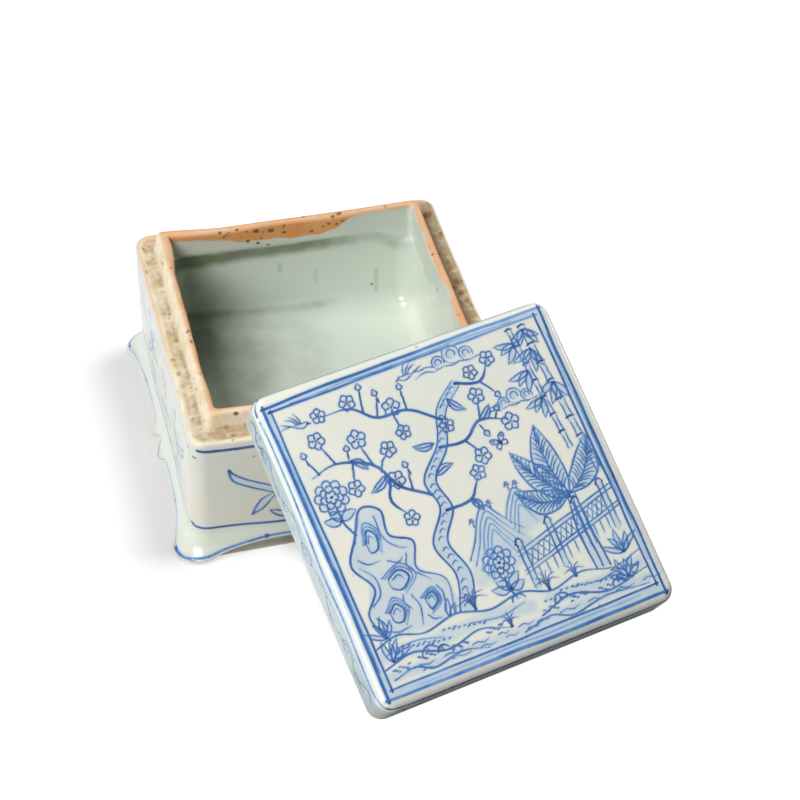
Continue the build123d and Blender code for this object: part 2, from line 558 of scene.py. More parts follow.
def hills(brush, points, depth, count, tone=0.4):
    """A ridge with contour lines below it that fade with depth."""
    points = np.array(points, float)
    middle = points[:, 0].mean()
    for k in range(count):
        drop = depth * k / count
        shrink = 1 - 0.5 * k / count
        path = np.stack([middle + (points[:, 0] - middle) * shrink, points[:, 1] - drop - 0.3 * k], 1)
        brush.line(path, width=0.5 if k == 0 else 0.38, tone=tone - 0.05 * k, taper=(0.8, 0.5))
    brush.fill(list(points) + [points[-1] - (0, depth), points[0] - (0, depth)], level=0.42, soft=1.2)


def ripples(brush, x0, x1, y, rows, gap):
    """Short level waves of water."""
    for k in range(rows):
        x = x0 + 1.7 * (k % 2)
        while x < x1:
            length = 4.2 + 1.3 * sin(3.1 * x + k)
            brush.line([(x, y - gap * k), (x + length * 0.3, y - gap * k + 0.32),
                        (x + length * 0.65, y - gap * k - 0.22), (x + length, y - gap * k + 0.12)],
                       width=0.38, tone=0.38)
            x += length + 2.6


def garden(brush):
    """The picture on the cover: a pierced rock, a plum tree, plantain, bamboo, hills and a fence."""
    # Banks, water and moss
    brush.lines([(-37, -27.0), (-31, -25.6), (-24, -27.4), (-15, -25.8), (-6, -28.0), (3, -26.8),
                 (11, -29.2), (20, -27.4), (29, -29.4), (37, -27.6)], tone=0.52, width=0.54)
    brush.lines([(-37, -32.6), (-29, -30.8), (-20, -33.4), (-11, -31.6), (-3, -34.0)],
                [(6, -34.2), (15, -31.8), (25, -34.4), (37, -32.4)], tone=0.55, width=0.54)
    brush.lines([(-35, -29.2), (-27, -28.4), (-20, -30.2)], [(-12, -29.4), (-4, -30.6), (3, -29.4)],
                [(16, -30.2), (24, -31.2), (32, -30.0)], tone=0.36, width=0.4)
    brush.band([(-36, -29.4), (-22, -30.2), (-8, -29.6), (4, -31)], 3.4, level=0.42, soft=0.9)
    brush.band([(10, -31.0), (24, -31.8), (36, -30.6)], 3.2, level=0.42, soft=0.9)
    brush.band([(-36, -34.6), (-20, -35.2), (0, -35.8), (18, -35.2), (36, -35)], 2.6, level=0.45, soft=0.9)
    brush.lines([(-36, -35.6), (-30, -34.4), (-25, -36.2), (-17, -35), (-10, -36.6)],
                [(0, -36.4), (8, -35.0), (14, -36.8), (24, -35.4), (36, -36.4)], tone=0.5, width=0.5)
    for k, x in enumerate((-33, -26, -17, -7, 9, 17, 24, 31)):
        speckle(brush, x - 2.4, x + 2.4, -34.2 + 0.6 * (k % 2), -32.8 + 0.6 * (k % 2), 9, k + 3)
    ripples(brush, -30, 5, -34.6, 2, 1.3)
    ripples(brush, 4, 35, -35.2, 1, 1.3)
    speckle(brush, -35, -8, -31.0, -28.2, 30, 1)
    speckle(brush, 8, 36, -32.0, -29.8, 28, 2)
    for x, y, height, blades, spread in ((-9.5, -26.6, 6.0, 7, 62), (10.5, -28.8, 5.2, 6, 60),
                                         (-2.6, -33.8, 3.8, 5, 60), (18.5, -28.0, 4.0, 5, 62)):
        tuft(brush, x, y, height, blades, spread)
    for x, y, size in ((-24.5, -32.8, 1.9), (-21.2, -33.2, 1.3), (12.6, -32.4, 1.7), (28.6, -34.0, 1.5),
                       (2.0, -28.4, 1.4)):
        stone = [(x - size * 1.3, y), (x - size, y + size * 0.8), (x + 0.2, y + size * 1.1),
                 (x + size * 1.2, y + size * 0.4), (x + size * 1.3, y)]
        brush.fill(stone, level=0.35, soft=0.4)
        brush.line(stone, width=0.5, tone=0.6)
        brush.line([(x - size * 0.3, y + size * 0.8), (x - size * 0.1, y + size * 0.2)], width=0.36,
                   tone=0.45)

    # Hills across the water
    hills(brush, [(-5.6, -15), (-2.4, -10.6), (0.6, -5.4), (3.4, -3.0), (6.0, -6.2), (8.6, -9.6),
                  (11.0, -12)], 7.0, 5)
    hills(brush, [(7.6, -8.2), (10, -4.2), (12.4, -1.6), (14.6, -3.4), (17, -7)], 5.0, 4, 0.36)
    for x, y in ((-1.2, -7.6), (2.2, -3.4), (5.0, -4.6), (11.4, -1.8), (13.6, -2.2)):
        brush.line([(x, y), (x + 0.1, y + 1.6)], width=0.4, tone=0.55)
        brush.lines([(x - 0.9, y + 1.2), (x, y + 1.7), (x + 0.9, y + 1.2)],
                    [(x - 0.6, y + 1.9), (x, y + 2.3), (x + 0.6, y + 1.9)], width=0.4, tone=0.55)

    # Lattice fence behind the plantain
    def rail(x):
        return -9.2 - (37 - x) * 0.265

    for drop in (0.0, 1.2, 5.0, 6.0):
        brush.line([(x, rail(x) - drop) for x in (37, 28, 18, 12, 6.6)], width=0.46, tone=0.5)
    brush.band([(x, rail(x) - 0.6) for x in (37, 20, 6.6)], 1.2, level=0.36)
    brush.band([(x, rail(x) - 5.5) for x in (37, 20, 6.6)], 1.0, level=0.3)
    posts = (34.5, 26.5, 17.5, 8.0)
    for x in posts:
        y = rail(x)
        brush.lines([(x - 0.7, y + 1.5), (x - 0.7, y - 10.4)], [(x + 0.8, y + 1.8), (x + 0.8, y - 10.2)],
                    width=0.5, tone=0.55)
        brush.line([(x - 1.1, y + 1.6), (x, y + 3.0), (x + 1.2, y + 1.9)], width=0.55, tone=0.68)
        brush.fill([(x - 0.7, y + 1.5), (x + 0.8, y + 1.8), (x + 0.8, y - 10), (x - 0.7, y - 10.2)],
                   level=0.4, soft=0.3)
    for right, left in zip(posts, posts[1:]):
        cells = [left + 1 + (right - left - 2) * k / 4 for k in range(5)]
        for a, b in zip(cells, cells[1:]):
            brush.lines([(a, rail(a) - 1.3), (b, rail(b) - 4.9)], [(a, rail(a) - 4.9), (b, rail(b) - 1.3)],
                        width=0.38, tone=0.42)
        for k in range(1, 4):
            x = left + (right - left) * k / 4
            brush.line([(x, rail(x) - 6.1), (x, rail(x) - 9.6)], width=0.42, tone=0.42)

    # Pierced rock
    rock = [(-33, -26.2), (-35.6, -19), (-31.6, -13), (-34.8, -6), (-31.0, 0.5), (-27, 6.8), (-22.2, 4.8),
            (-22.6, -1.6), (-17.4, -5.2), (-19.2, -12), (-13.4, -17), (-15.0, -25.8)]
    brush.fill(rock, level=0.4, soft=0.8)
    brush.line(rock, width=0.6, tone=0.62)
    for hole in ([(-29, -2), (-27.6, 1.2), (-25.8, -0.6), (-26.6, -4), (-28.6, -4.4)],
                 [(-27.4, -12), (-24, -10.6), (-22, -13), (-24.6, -15.4), (-27.2, -14.4)],
                 [(-30.4, -20), (-28.2, -18.2), (-26.6, -20.4), (-28, -22.8), (-30, -22.4)],
                 [(-20.6, -19.6), (-18.2, -18.6), (-17.6, -21), (-19.8, -22.6)]):
        middle = np.mean(hole, 0)
        brush.line(hole + hole[:1], width=0.55, tone=0.66)
        for grow in (1.32, 1.62):
            brush.line([np.array(p) * grow + middle * (1 - grow) for p in hole[:4]], width=0.4, tone=0.42)
        brush.line([np.array(p) * 0.55 + middle * 0.45 for p in hole[:3]], tone=0.5, width=0.4)
        brush.fill(hole, level=0.6, soft=0.3)
    brush.lines([(-33.6, -17), (-30.6, -14.6), (-30.4, -10.4), (-33, -7)],
                [(-32.6, -5), (-30.6, -6.8), (-27.4, -7)],
                [(-24.4, 4), (-24.2, -2), (-21.4, -5.4), (-19.6, -6)],
                [(-20.4, -7.4), (-21.2, -11), (-17, -15.6)], [(-32.6, -24), (-30, -25), (-26.4, -24.6)],
                [(-23.4, -17.4), (-22.4, -21), (-23.6, -25.4)], [(-25.6, -7.6), (-23.2, -8.8), (-21.6, -8)],
                [(-16.4, -17.4), (-15.6, -20), (-16.6, -24.6)], [(-31.6, -1), (-30.4, 1.6), (-28.2, 4.6)],
                [(-34.0, -20), (-32.6, -22), (-32.8, -25)],
                [(-25.4, -16.8), (-25.8, -18.6), (-24.6, -20.8)],
                [(-21.4, -23.6), (-20.4, -25), (-18.4, -25.4)], width=0.44, tone=0.45)
    brush.band([(-33.4, -17), (-31.2, -10), (-32.4, -4), (-28.4, 3.6)], 2.2, level=0.5)
    brush.band([(-16.6, -23), (-17.2, -17), (-20.2, -11)], 2.0, level=0.45)
    brush.band([(-24.6, 2.6), (-24.4, -3), (-21.6, -7)], 1.6, level=0.35)
    leaf_fan(brush, -33.6, -25.4, (150, 118, 88, 60), 5.6, breadth=1.1)

    # Plum tree
    trunk = [(-13.4, -25.8), (-10.6, -17), (-12.8, -8), (-7.4, 0), (-8.4, 8), (-1.2, 15.5), (2.4, 24),
             (9, 29.5)]
    other = [(-9.4, -26.2), (-6.8, -17.4), (-9, -8.6), (-4.4, -1), (-5.4, 7), (1, 14.2), (4.4, 22.6),
             (10.4, 27.8)]
    brush.fill(trunk + other[::-1], level=0.5, soft=0.5)
    brush.lines(trunk, other, width=0.54, tone=0.62)
    for k in range(7):
        x, y = np.array(trunk[k]) * 0.5 + np.array(other[k]) * 0.5
        nx, ny = np.array(trunk[k + 1]) * 0.5 + np.array(other[k + 1]) * 0.5
        for t in (0.12, 0.34, 0.56, 0.78):
            cx, cy = x + (nx - x) * t, y + (ny - y) * t
            brush.line([(cx - 0.9, cy), (cx + 0.1, cy + 0.7), (cx + 0.8, cy + 0.1)], width=0.38, tone=0.46)
    brush.band([np.array(p) * 0.8 + np.array(q) * 0.2 for p, q in zip(trunk, other)], 1.0, level=0.5)
    boughs = ([(-8, 4), (-15, 9), (-19, 16), (-28, 19.5), (-35, 18)],
              [(-1, 14.5), (6, 14), (12, 17.6), (19, 15.4)],
              [(2.6, 21), (-5, 26.4), (-13, 27), (-19, 31.5), (-26, 31.8)],
              [(9.6, 28.6), (16, 27), (20, 31)], [(-16.4, 11.4), (-18.4, 6), (-15.6, 1.4)],
              [(-6, -1), (1, -0.6), (5.4, 4.4)])
    brush.lines(*boughs, width=0.78, tone=0.64, taper=(1, 0.35))
    twigs = ([(-19, 16), (-20.4, 22)], [(-28, 19.5), (-30, 25)], [(-24, 18), (-25.4, 13.4)],
             [(12, 17.6), (13.4, 22.4)], [(-13, 27), (-11.4, 31.6)], [(-5, 26.4), (-4.6, 31)],
             [(6, 14), (8.6, 10)], [(16, 27), (18.6, 23.6)], [(-16, 29.4), (-15, 34.6)],
             [(-9, 27), (-8.4, 22.6)], [(-33, 18.4), (-34.6, 22.4)], [(-12, 7), (-11.4, 11.6)],
             [(-17.8, 13.8), (-16.4, 16.2), (-14.8, 17.4)])
    brush.lines(*twigs, width=0.55, tone=0.62, taper=(1, 0.4))
    for x, y, size, turn in ((-20.4, 23.6, 2.5, 0.3), (-30.4, 26.6, 2.3, 1.0), (-15, 10.6, 2.4, 0.8),
                             (13.6, 23.8, 2.2, 0.5), (19.4, 14.6, 2.4, 0.2), (8.8, 8.8, 2.3, 0.9),
                             (-19.0, 33.2, 2.2, 0.6), (-8.6, 28.4, 2.4, 0.1), (5.8, 5.2, 2.1, 0.4),
                             (-15.2, 0.2, 2.1, 1.2), (20.4, 32.0, 2.1, 0.7), (3.2, 19.2, 2.0, 0.3),
                             (-25.6, 12.0, 2.2, 0.9), (-8.2, 21.4, 2.0, 0.5), (-27.4, 32.4, 2.0, 0.2),
                             (-13.8, 18.6, 2.2, 0.7), (14.6, 30.0, 2.0, 0.9)):
        blossom(brush, x, y, size, turn, tone=0.58)
    for x, y, turn in ((-24, 21.4, 80), (-11.2, 32.4, 95), (-4.6, 31.8, 85), (12, 14.6, -70),
                       (17.0, 18.4, 60), (-11.2, 12.6, 100), (18.8, 23.0, -60), (-14.8, 35.2, 80),
                       (-34.8, 23.2, 100)):
        bud(brush, x, y, 1.4, turn)
    for base, tip, bend in (((-17, 12.6), (-22.4, 9.6), 0.6), ((-2, 16), (-7.6, 17.0), 0.7),
                            ((6, 25.6), (9.6, 21.4), -0.6), ((-5, 8), (0.6, 9.6), 0.5),
                            ((-24, 19), (-20.6, 15.4), 0.5), ((1, -0.6), (3.2, -4.4), 0.4),
                            ((12, 17.4), (15.8, 20.6), -0.5)):
        leaf(brush, base, tip, 1.9, bend, level=0.5, tone=0.6, width=0.45)

    # Plantain
    brush.lines([(24.6, -28.4), (24, -18), (25.4, -8)], [(28.4, -28.6), (27.6, -18), (27.4, -8)],
                [(26.4, -28.2), (26, -18), (26.4, -9)], width=0.55, tone=0.6)
    brush.fill([(24.6, -28), (24, -18), (25.4, -8), (27.4, -8), (27.6, -18), (28.4, -28)], level=0.4,
               soft=0.4)
    for base, tip, breadth, bend in (((26, -8), (12.4, -2.6), 6.2, 2.6),
                                     ((26.2, -8), (36.6, 5.2), 6.8, -2.2),
                                     ((26.2, -8), (24.6, 11.6), 7.0, 1.6),
                                     ((26, -9), (15.6, 7.0), 5.8, 1.0)):
        leaf(brush, base, tip, breadth, bend, veins=13, level=0.45, tone=0.52, width=0.5)

    # Bamboo at the edge
    bamboo(brush, (36.2, -5.6), (32.8, 37), 8, 0.75)
    bamboo(brush, (31.6, 2.6), (29.0, 37), 7, 0.6)
    for x, y, turns, size in ((32.6, 30.6, (-160, -130, -100, -75), 6.4),
                              (29.4, 25.4, (-170, -140, -112), 6.0),
                              (34.4, 20.4, (-115, -88, -62, -150), 6.0),
                              (30.0, 17.6, (-165, -135, -105), 5.4),
                              (32.6, 36.0, (-150, -120, -60, -35), 5.4),
                              (28.8, 33.0, (170, -160, -128), 5.6)):
        leaf_fan(brush, x, y, turns, size)

    # Peonies behind the rock and by the bank
    brush.lines([(-30.4, 1.0), (-32.0, 4.6), (-32.4, 8.4)], [(1.8, -27.4), (0.6, -24.4), (1.0, -21.6)],
                width=0.6, tone=0.6)
    for x, y, size, turn in ((-32.4, 12.0, 4.3, 0.2), (1.0, -18.0, 4.1, 0.5)):
        peony(brush, x, y, size, turn)
    for x, y, turns, size in ((-32.2, 5.6, (165, 130, 20), 4.6), (1.2, -25.2, (165, 138, 45, 15), 5.0)):
        leaf_fan(brush, x, y, turns, size, breadth=2.2)
    for x, y, turns, size in ((-34.4, -31.4, (100, 80, 60, 40, 20), 6.0),
                              (31.6, -33.0, (160, 135, 110, 85, 60, 35), 5.6),
                              (33.2, -26.8, (150, 122, 94, 66, 40), 6.4), (-16.4, -26.0, (75, 50), 4.6)):
        leaf_fan(brush, x, y, turns, size, breadth=1.3)

    # Sky
    cloud(brush, 11.4, 35.0, 0.95, -1)
    cloud(brush, 22.8, 19.6, 0.8, -1)
    bird(brush, -33.0, 31.6, 0.62, -12)
    bird(brush, -1.4, 34.4, 0.62, 10, -1)
    butterfly(brush, 14.6, 10.4, 0.6, 20)


def frame_lines(brush):
    """The double line round the cover's top, with a wash between, drawn a side at a time."""
    outer = ((-39.8, 38.7), (39.2, 40.2), (39.1, -40.0), (-39.4, -39.6))
    inner = ((-38.3, 37.2), (37.4, 38.4), (37.5, -37.2), (-37.7, -37.5))
    tones = ((0.74, 0.7, 0.5, 0.64), (0.66, 0.64, 0.62, 0.7))
    widths = ((0.8, 0.75, 0.9, 0.95), (0.65, 0.65, 0.6, 0.6))
    for corners, tone, width in zip((outer, inner), tones, widths):
        for k in range(4):
            a, b = np.array(corners[k]), np.array(corners[(k + 1) % 4])
            along = (b - a) / hypot(*(b - a))
            bow = np.array([-along[1], along[0]]) * (0.25, -0.2, 0.15, -0.25)[k]
            brush.line([a - along * 0.5, a * 0.7 + b * 0.3 + bow, a * 0.35 + b * 0.65 + bow * 0.6,
                        b + along * 0.6], width=width[k], tone=tone[k], taper=(0.9, 0.8), pool=(0.25, 0.2),
                       shake=0.12, fade=(0.5, 0.0, 0.15, 0.1)[k])
    for k in range(4):
        a = (np.array(outer[k]) + inner[k]) / 2
        b = (np.array(outer[(k + 1) % 4]) + inner[(k + 1) % 4]) / 2
        brush.band([a, b], 2.2, level=(0.5, 0.42, 0.55, 0.6)[k], soft=0.6)
        brush.line([a * 0.92 + b * 0.08, b * 0.9 + a * 0.1], width=0.3, tone=0.25, shake=0.2)


def edge_line(brush):
    """The thin line on the cover's rounded edge, outside the frame."""
    style = dict(width=0.3, tone=0.62, taper=(0.9, 0.7), pool=(0.3, 0.1), shake=0.03)
    brush.line([(-41.5, 36.2), (-41.2, 27), (-41.2, 16), (-41.45, 8), (-41.75, -4), (-41.65, -17),
                (-41.85, -31), (-41.7, -38), (-40.9, -40.5), (-40.2, -41.1)], **style)
    dark = dict(style, width=0.34, tone=1.05)
    # The line along the bottom edge is drawn darker than the others, as painted shade on that down-facing
    # edge
    brush.line([(-40.4, -41.0), (-39.6, -41.5), (-37.2, -41.95), (-29, -42.13), (-10, -42.13), (14, -42.1),
                (37, -42.05), (40.2, -41.2)], **dark)
    brush.line([(-41.6, 37.4), (-41.45, 39.2), (-40.6, 40.8)], **style)
    brush.line([(-40.2, 41.2), (-38.6, 41.95), (-30, 42.1), (-8, 42.08), (16, 42.1), (37, 42.0)], **style)
    brush.line([(41.75, 38), (41.7, 15), (41.72, -12), (41.7, -37)], **style)
    brush.band([(-41, 38), (-41, 0), (-41, -38)], 1.6, level=0.22, soft=0.5)


def scroll(brush, start, end, low, high, bold=0.0):
    """A running tendril with three oval flowers, along a narrow band."""
    middle, rise = (low + high) / 2, (high - low) / 2
    turns = np.linspace(0, 2 * pi, 13)
    flowers = np.linspace(start + 9, end - 13, 3)
    for x in flowers:
        for long, wide, width, tone in ((3.0, 0.72, 0.42, 0.66), (2.1, 0.42, 0.36, 0.5)):
            brush.line([(x + long * cos(a) + 0.3 * sin(a), middle + rise * wide * sin(a)) for a in turns],
                       width=width, tone=tone + bold)
        brush.fill([(x + 2.0 * cos(a), middle + 0.4 * rise * sin(a)) for a in turns[:-1]], level=0.5,
                   soft=0.4)
        brush.dot(x, middle, size=0.7, tone=0.7)
    ends = [start - 1.5, *flowers, end + 1.5]
    for k, (a, b) in enumerate(zip(ends, ends[1:])):
        a, b = a + 3.0 * (k > 0), b - 3.0 * (k < 3)
        run, up = b - a, (-1) ** k * rise
        brush.line([(a, middle), (a + run * 0.3, middle + up * 0.7), (a + run * 0.7, middle - up * 0.7),
                    (b, middle)], width=0.42, tone=0.62 + bold)
        for t, flip in ((0.18, -1), (0.42, 1), (0.6, -1), (0.84, 1)):
            x, y = a + run * t, middle + up * 0.7 * sin(2 * pi * t)
            brush.line([(x, y), (x + 1.3, y + flip * up * 0.35), (x + 2.5, y + flip * up * 0.25),
                        (x + 2.6, y)], width=0.36, tone=0.5 + bold)


# Body


def flare(z):
    """How far the foot stands out from the wall's top at a height."""
    run, rise = toe_out - flare_start_out, flare_top - toe_height
    bend = (run ** 2 + rise ** 2) / (2 * run)
    fall = np.clip(flare_top - z, 0, rise)
    return flare_start_out + bend - np.sqrt(bend ** 2 - fall ** 2)


lobe_shift = 2.0  # the left side's lobe stands a little nearer to the front


def arch(x):
    """Height of the bracket foot's lower edge at a distance from a side's middle."""
    x = np.abs(x)
    lobe_half, lobe, cusp_x, cusp, peak_x, peak, end_x = 2.2, 0.4, 6.5, 2.5, 19.0, 3.5, 43.0
    low = lobe + (cusp - lobe) * (np.clip(x - lobe_half, 0, None) / (cusp_x - lobe_half)) ** 1.5
    rise = peak - (peak - cusp) * ((peak_x - x) / (peak_x - cusp_x)) ** 2
    fall = peak * (1 - np.clip((x - peak_x) / (end_x - peak_x), 0, 1.2) ** 2.4)
    return np.where(x < cusp_x, low, np.where(x < peak_x, rise, fall))


def hand_made(x, y, z):
    """Unevenness of the hand-built body: the back is askew, the front bulges and its ledge sags."""
    back = np.clip((y + half_y) / (2 * half_y), 0, 1) ** 2
    front = np.clip(-y / half_y, 0, 1) ** 4
    left = np.clip(-x / half_x, 0, 1) ** 4
    bulge = front * (1 - np.clip(np.abs(x) / half_x, 0, 1) ** 2.2)
    high = smooth(z, -6, 24)
    corner_left = back * smooth(-x, 17, 38)
    # Sideways: slow waves, the left foot's spread, and the lean of the front left corner
    dx = 0.18 * ripple(y + 2 * z, 1, 61.0) * np.abs(x) / half_x
    lean_out = 1.25 * smooth(-y, 0, 40) * np.clip(1 - z / 38, 0, 1) ** 0.6
    dx = dx - left * (0.5 * (1 - smooth(z, 2, 9)) + lean_out)
    # In depth: the askew back, the front's bulge, slow waves, and the back left corner
    dy = back * (0.45 - 1.1 * x / half_x) * (0.4 + 0.6 * high) - 1.2 * bulge * high
    dy = dy + 0.18 * ripple(x + 1.7 * z, 2, 57.0) * np.abs(y) / half_y + corner_left
    # In height: the front ledge's sag, and the raised back left corner
    dz = -0.7 * bulge * smooth(z, 20, 38) + 0.9 * corner_left * smooth(z, 39, 42)
    return x + dx, y + dy, z + dz


def stack(outline, rows, bend=None):
    """Rings of points from (half x, half y, corner radius, height) rows, bent if a bend is given."""
    grid = np.zeros((len(rows), outline.count, 3))
    for ring, (size_x, size_y, radius, z) in zip(grid, rows):
        ring[:, 0], ring[:, 1] = outline.at(size_x, size_y, radius)
        ring[:, 2] = z
    return np.stack(bend(*np.moveaxis(grid, 2, 0)), 2) if bend else grid


def paint_sides(along, heights, past, paint, over=False):
    """Brushwork of all four sides, each painted a little past its corners.

    Where two sides meet, the nearest line is kept, or the later side covers the earlier one.
    """
    painted = {key: np.full(heights.shape, VALUES[key], float) for key in PAINTED}
    for side in range(4):
        mine = np.nonzero(np.abs(along[0][side]) < half_x + past)[0]
        brush = Brush(np.broadcast_to(along[0][side][mine], (len(heights), len(mine))), heights[:, mine])
        paint(side, brush)
        now, before = brush.values(), {key: field[:, mine] for key, field in painted.items()}
        if not over:
            nearer = now["ink"] < before["ink"]
            for key in ("ink", "tone"):
                now[key] = np.where(nearer, now[key], before[key])
            for key, join in (("wash", np.maximum), ("speck", np.minimum), ("stain", np.minimum)):
                now[key] = join(now[key], before[key])
        for key, field in painted.items():
            field[:, mine] = now[key]
    return painted


def spray(brush, x, z, flip, strength, scale=1.0):
    """A spray of narrow leaves with one flower, for the body's sides."""
    t = Turned(brush, x, z, 0, scale, flip)
    style = dict(width=0.62, tone=0.72 * strength, taper=(1.0, 0.7), pool=(0.3, 0.0))
    long_leaf = ([(-10.9, 11.4), (-9.6, 9.6), (-7.0, 7.5), (-3.2, 5.4), (-0.9, 4.2), (1.6, 2.2)],
                 [(-10.9, 11.4), (-10.6, 8.9), (-9.1, 6.4), (-5.2, 4.0), (-0.3, 1.4), (1.2, 0.6)])
    short_leaf = ([(-5.5, -5.7), (-4.2, -2.7), (-2.7, -0.7), (-0.5, 0.7)],
                  [(-5.5, -5.7), (-3.6, -4.7), (-1.8, -3.2), (0.1, -0.4)])
    for upper, lower in (long_leaf, short_leaf):
        t.lines(upper, lower, **style)
        t.fill(upper + lower[::-1], level=0.4 * strength, soft=0.5)
    leaf(t, (0.6, 0.6), (7.6, 9.4), 2.4, 1.6, level=0.3 * strength, rib=False, **style)
    leaf(t, (0.8, 0), (10.8, 1.6), 2.2, 1.2, level=0.3 * strength, rib=False, **style)
    leaf(t, (5.8, -8.0), (-0.9, -5.2), 1.9, 0.5, level=0.3 * strength, rib=False, **style)
    t.lines([(0.6, 0.2), (2.4, -3.6), (5.8, -8.0)], [(0.4, 0.8), (2.4, 7), (1.6, 11.8)], **style)
    for k in range(5):
        a = radians(90 + 36 * (k - 2))
        petal = [(1.4 * cos(a + 0.3), 1.8 * sin(a)), (2.6 * cos(a), 2.8 * sin(a))]
        t.line([(1.6, 11.8)] + [(1.6 + dx, 11.8 + dz) for dx, dz in petal], **style)


def side_paint(side, brush):
    """Blue lines and sprays on one side of the body. The left side is painted more thinly."""
    shift = (1.5, -2.0, 0.8, 0.0)[side]
    strength = (0.85, 0.9, 0.75, 1.0)[side]
    thin = (0.9, 0.9, 0.5, 1.0)[side]
    brush.line([(-40.2, 36.3), (-36.2, 35.9), (-31.3, 35.7), (-26.4, 35.6), (10, 35.6), (28, 35.4),
                (39.6, 36.0)], width=0.9 * thin, tone=0.92 * strength, taper=(1.0, 0.8), pool=(0.1, 0.1),
               shake=0.03)
    brush.line([(-42.5, 10.0), (-41.3, 9.3), (-39.7, 9.25), (-31, 8.7), (-19.6, 7.6), (0, 7.3), (20, 7.7),
                (36, 9.0), (41.2, 10.2)], width=0.75 * thin, tone=0.78 * strength, taper=(1.5, 0.8),
               pool=(0.35, 0.1))
    off = lobe_shift if side == 2 else 0.0

    def moved(x):
        """How far the lobe's shift moves the foot's edge."""
        return off * (1 - (x / half_y) ** 2)

    for flip in (1, -1):
        foot = [(flip * -43.4, 1.7), (flip * -42.3, 1.15)]
        for place in (-40.4, -38.5, -36, -33, -29, -24, -19, -14, -10, -7.2):
            x = moved(place) + flip * place
            foot.append((x, max(float(arch(flip * (x - moved(x)))) + 0.6, 1.35)))
        brush.line(foot, width=0.46 * thin, tone=0.62 * strength, taper=(1.0, 0.8), pool=(0.4, 0.3))
        brush.band(foot, 1.4, level=0.2 * strength * thin)
        brush.dot(foot[-5][0], foot[-5][1] + 0.1, size=1.0 * thin, tone=0.9 * strength)
    lobe = [(-5.6, 1.5), (-3.8, 2.6), (-1.6, 3.5), (1.0, 2.6), (3.4, 1.9), (5.0, 2.1), (6.8, 3.2)]
    brush.line([(x + off, h) for x, h in lobe], width=0.54 * thin, tone=0.6 * strength)
    spray(brush, -21.9 + shift, 17.4, 1, strength, 1.0)
    spray(brush, 20.5 + shift, 17.0, -1, strength, 0.96)
    t = Turned(brush, shift, 17.5)
    blossom(t, 0, 5.2, 4.2, 0.4, 6, 0.3 * strength, tone=0.58 * strength)
    t.line([(0, 1.4), (0.6, -3), (-0.4, -8.6)], tone=0.6 * strength)
    leaf(t, (0.4, -3), (7.2, -5.2), 2.0, 0.8, level=0.3 * strength, tone=0.6 * strength)
    leaf(t, (0.2, -4), (-6.8, -6.6), 2.0, -0.8, level=0.3 * strength, tone=0.6 * strength)
    for x, h, size in ((-41.0, 33.6, 0.6), (-26.3, 32.2, 0.6), (14.0, 26.0, 0.4), (33.0, 21.0, 0.5)):
        brush.iron(x + shift, h, size)
    for x, h, size in ((-43.6, 1.0, 1.0), (-42.2, 0.7, 0.7), (-45.4, 1.5, 0.6)):
        brush.iron(x, h, size)


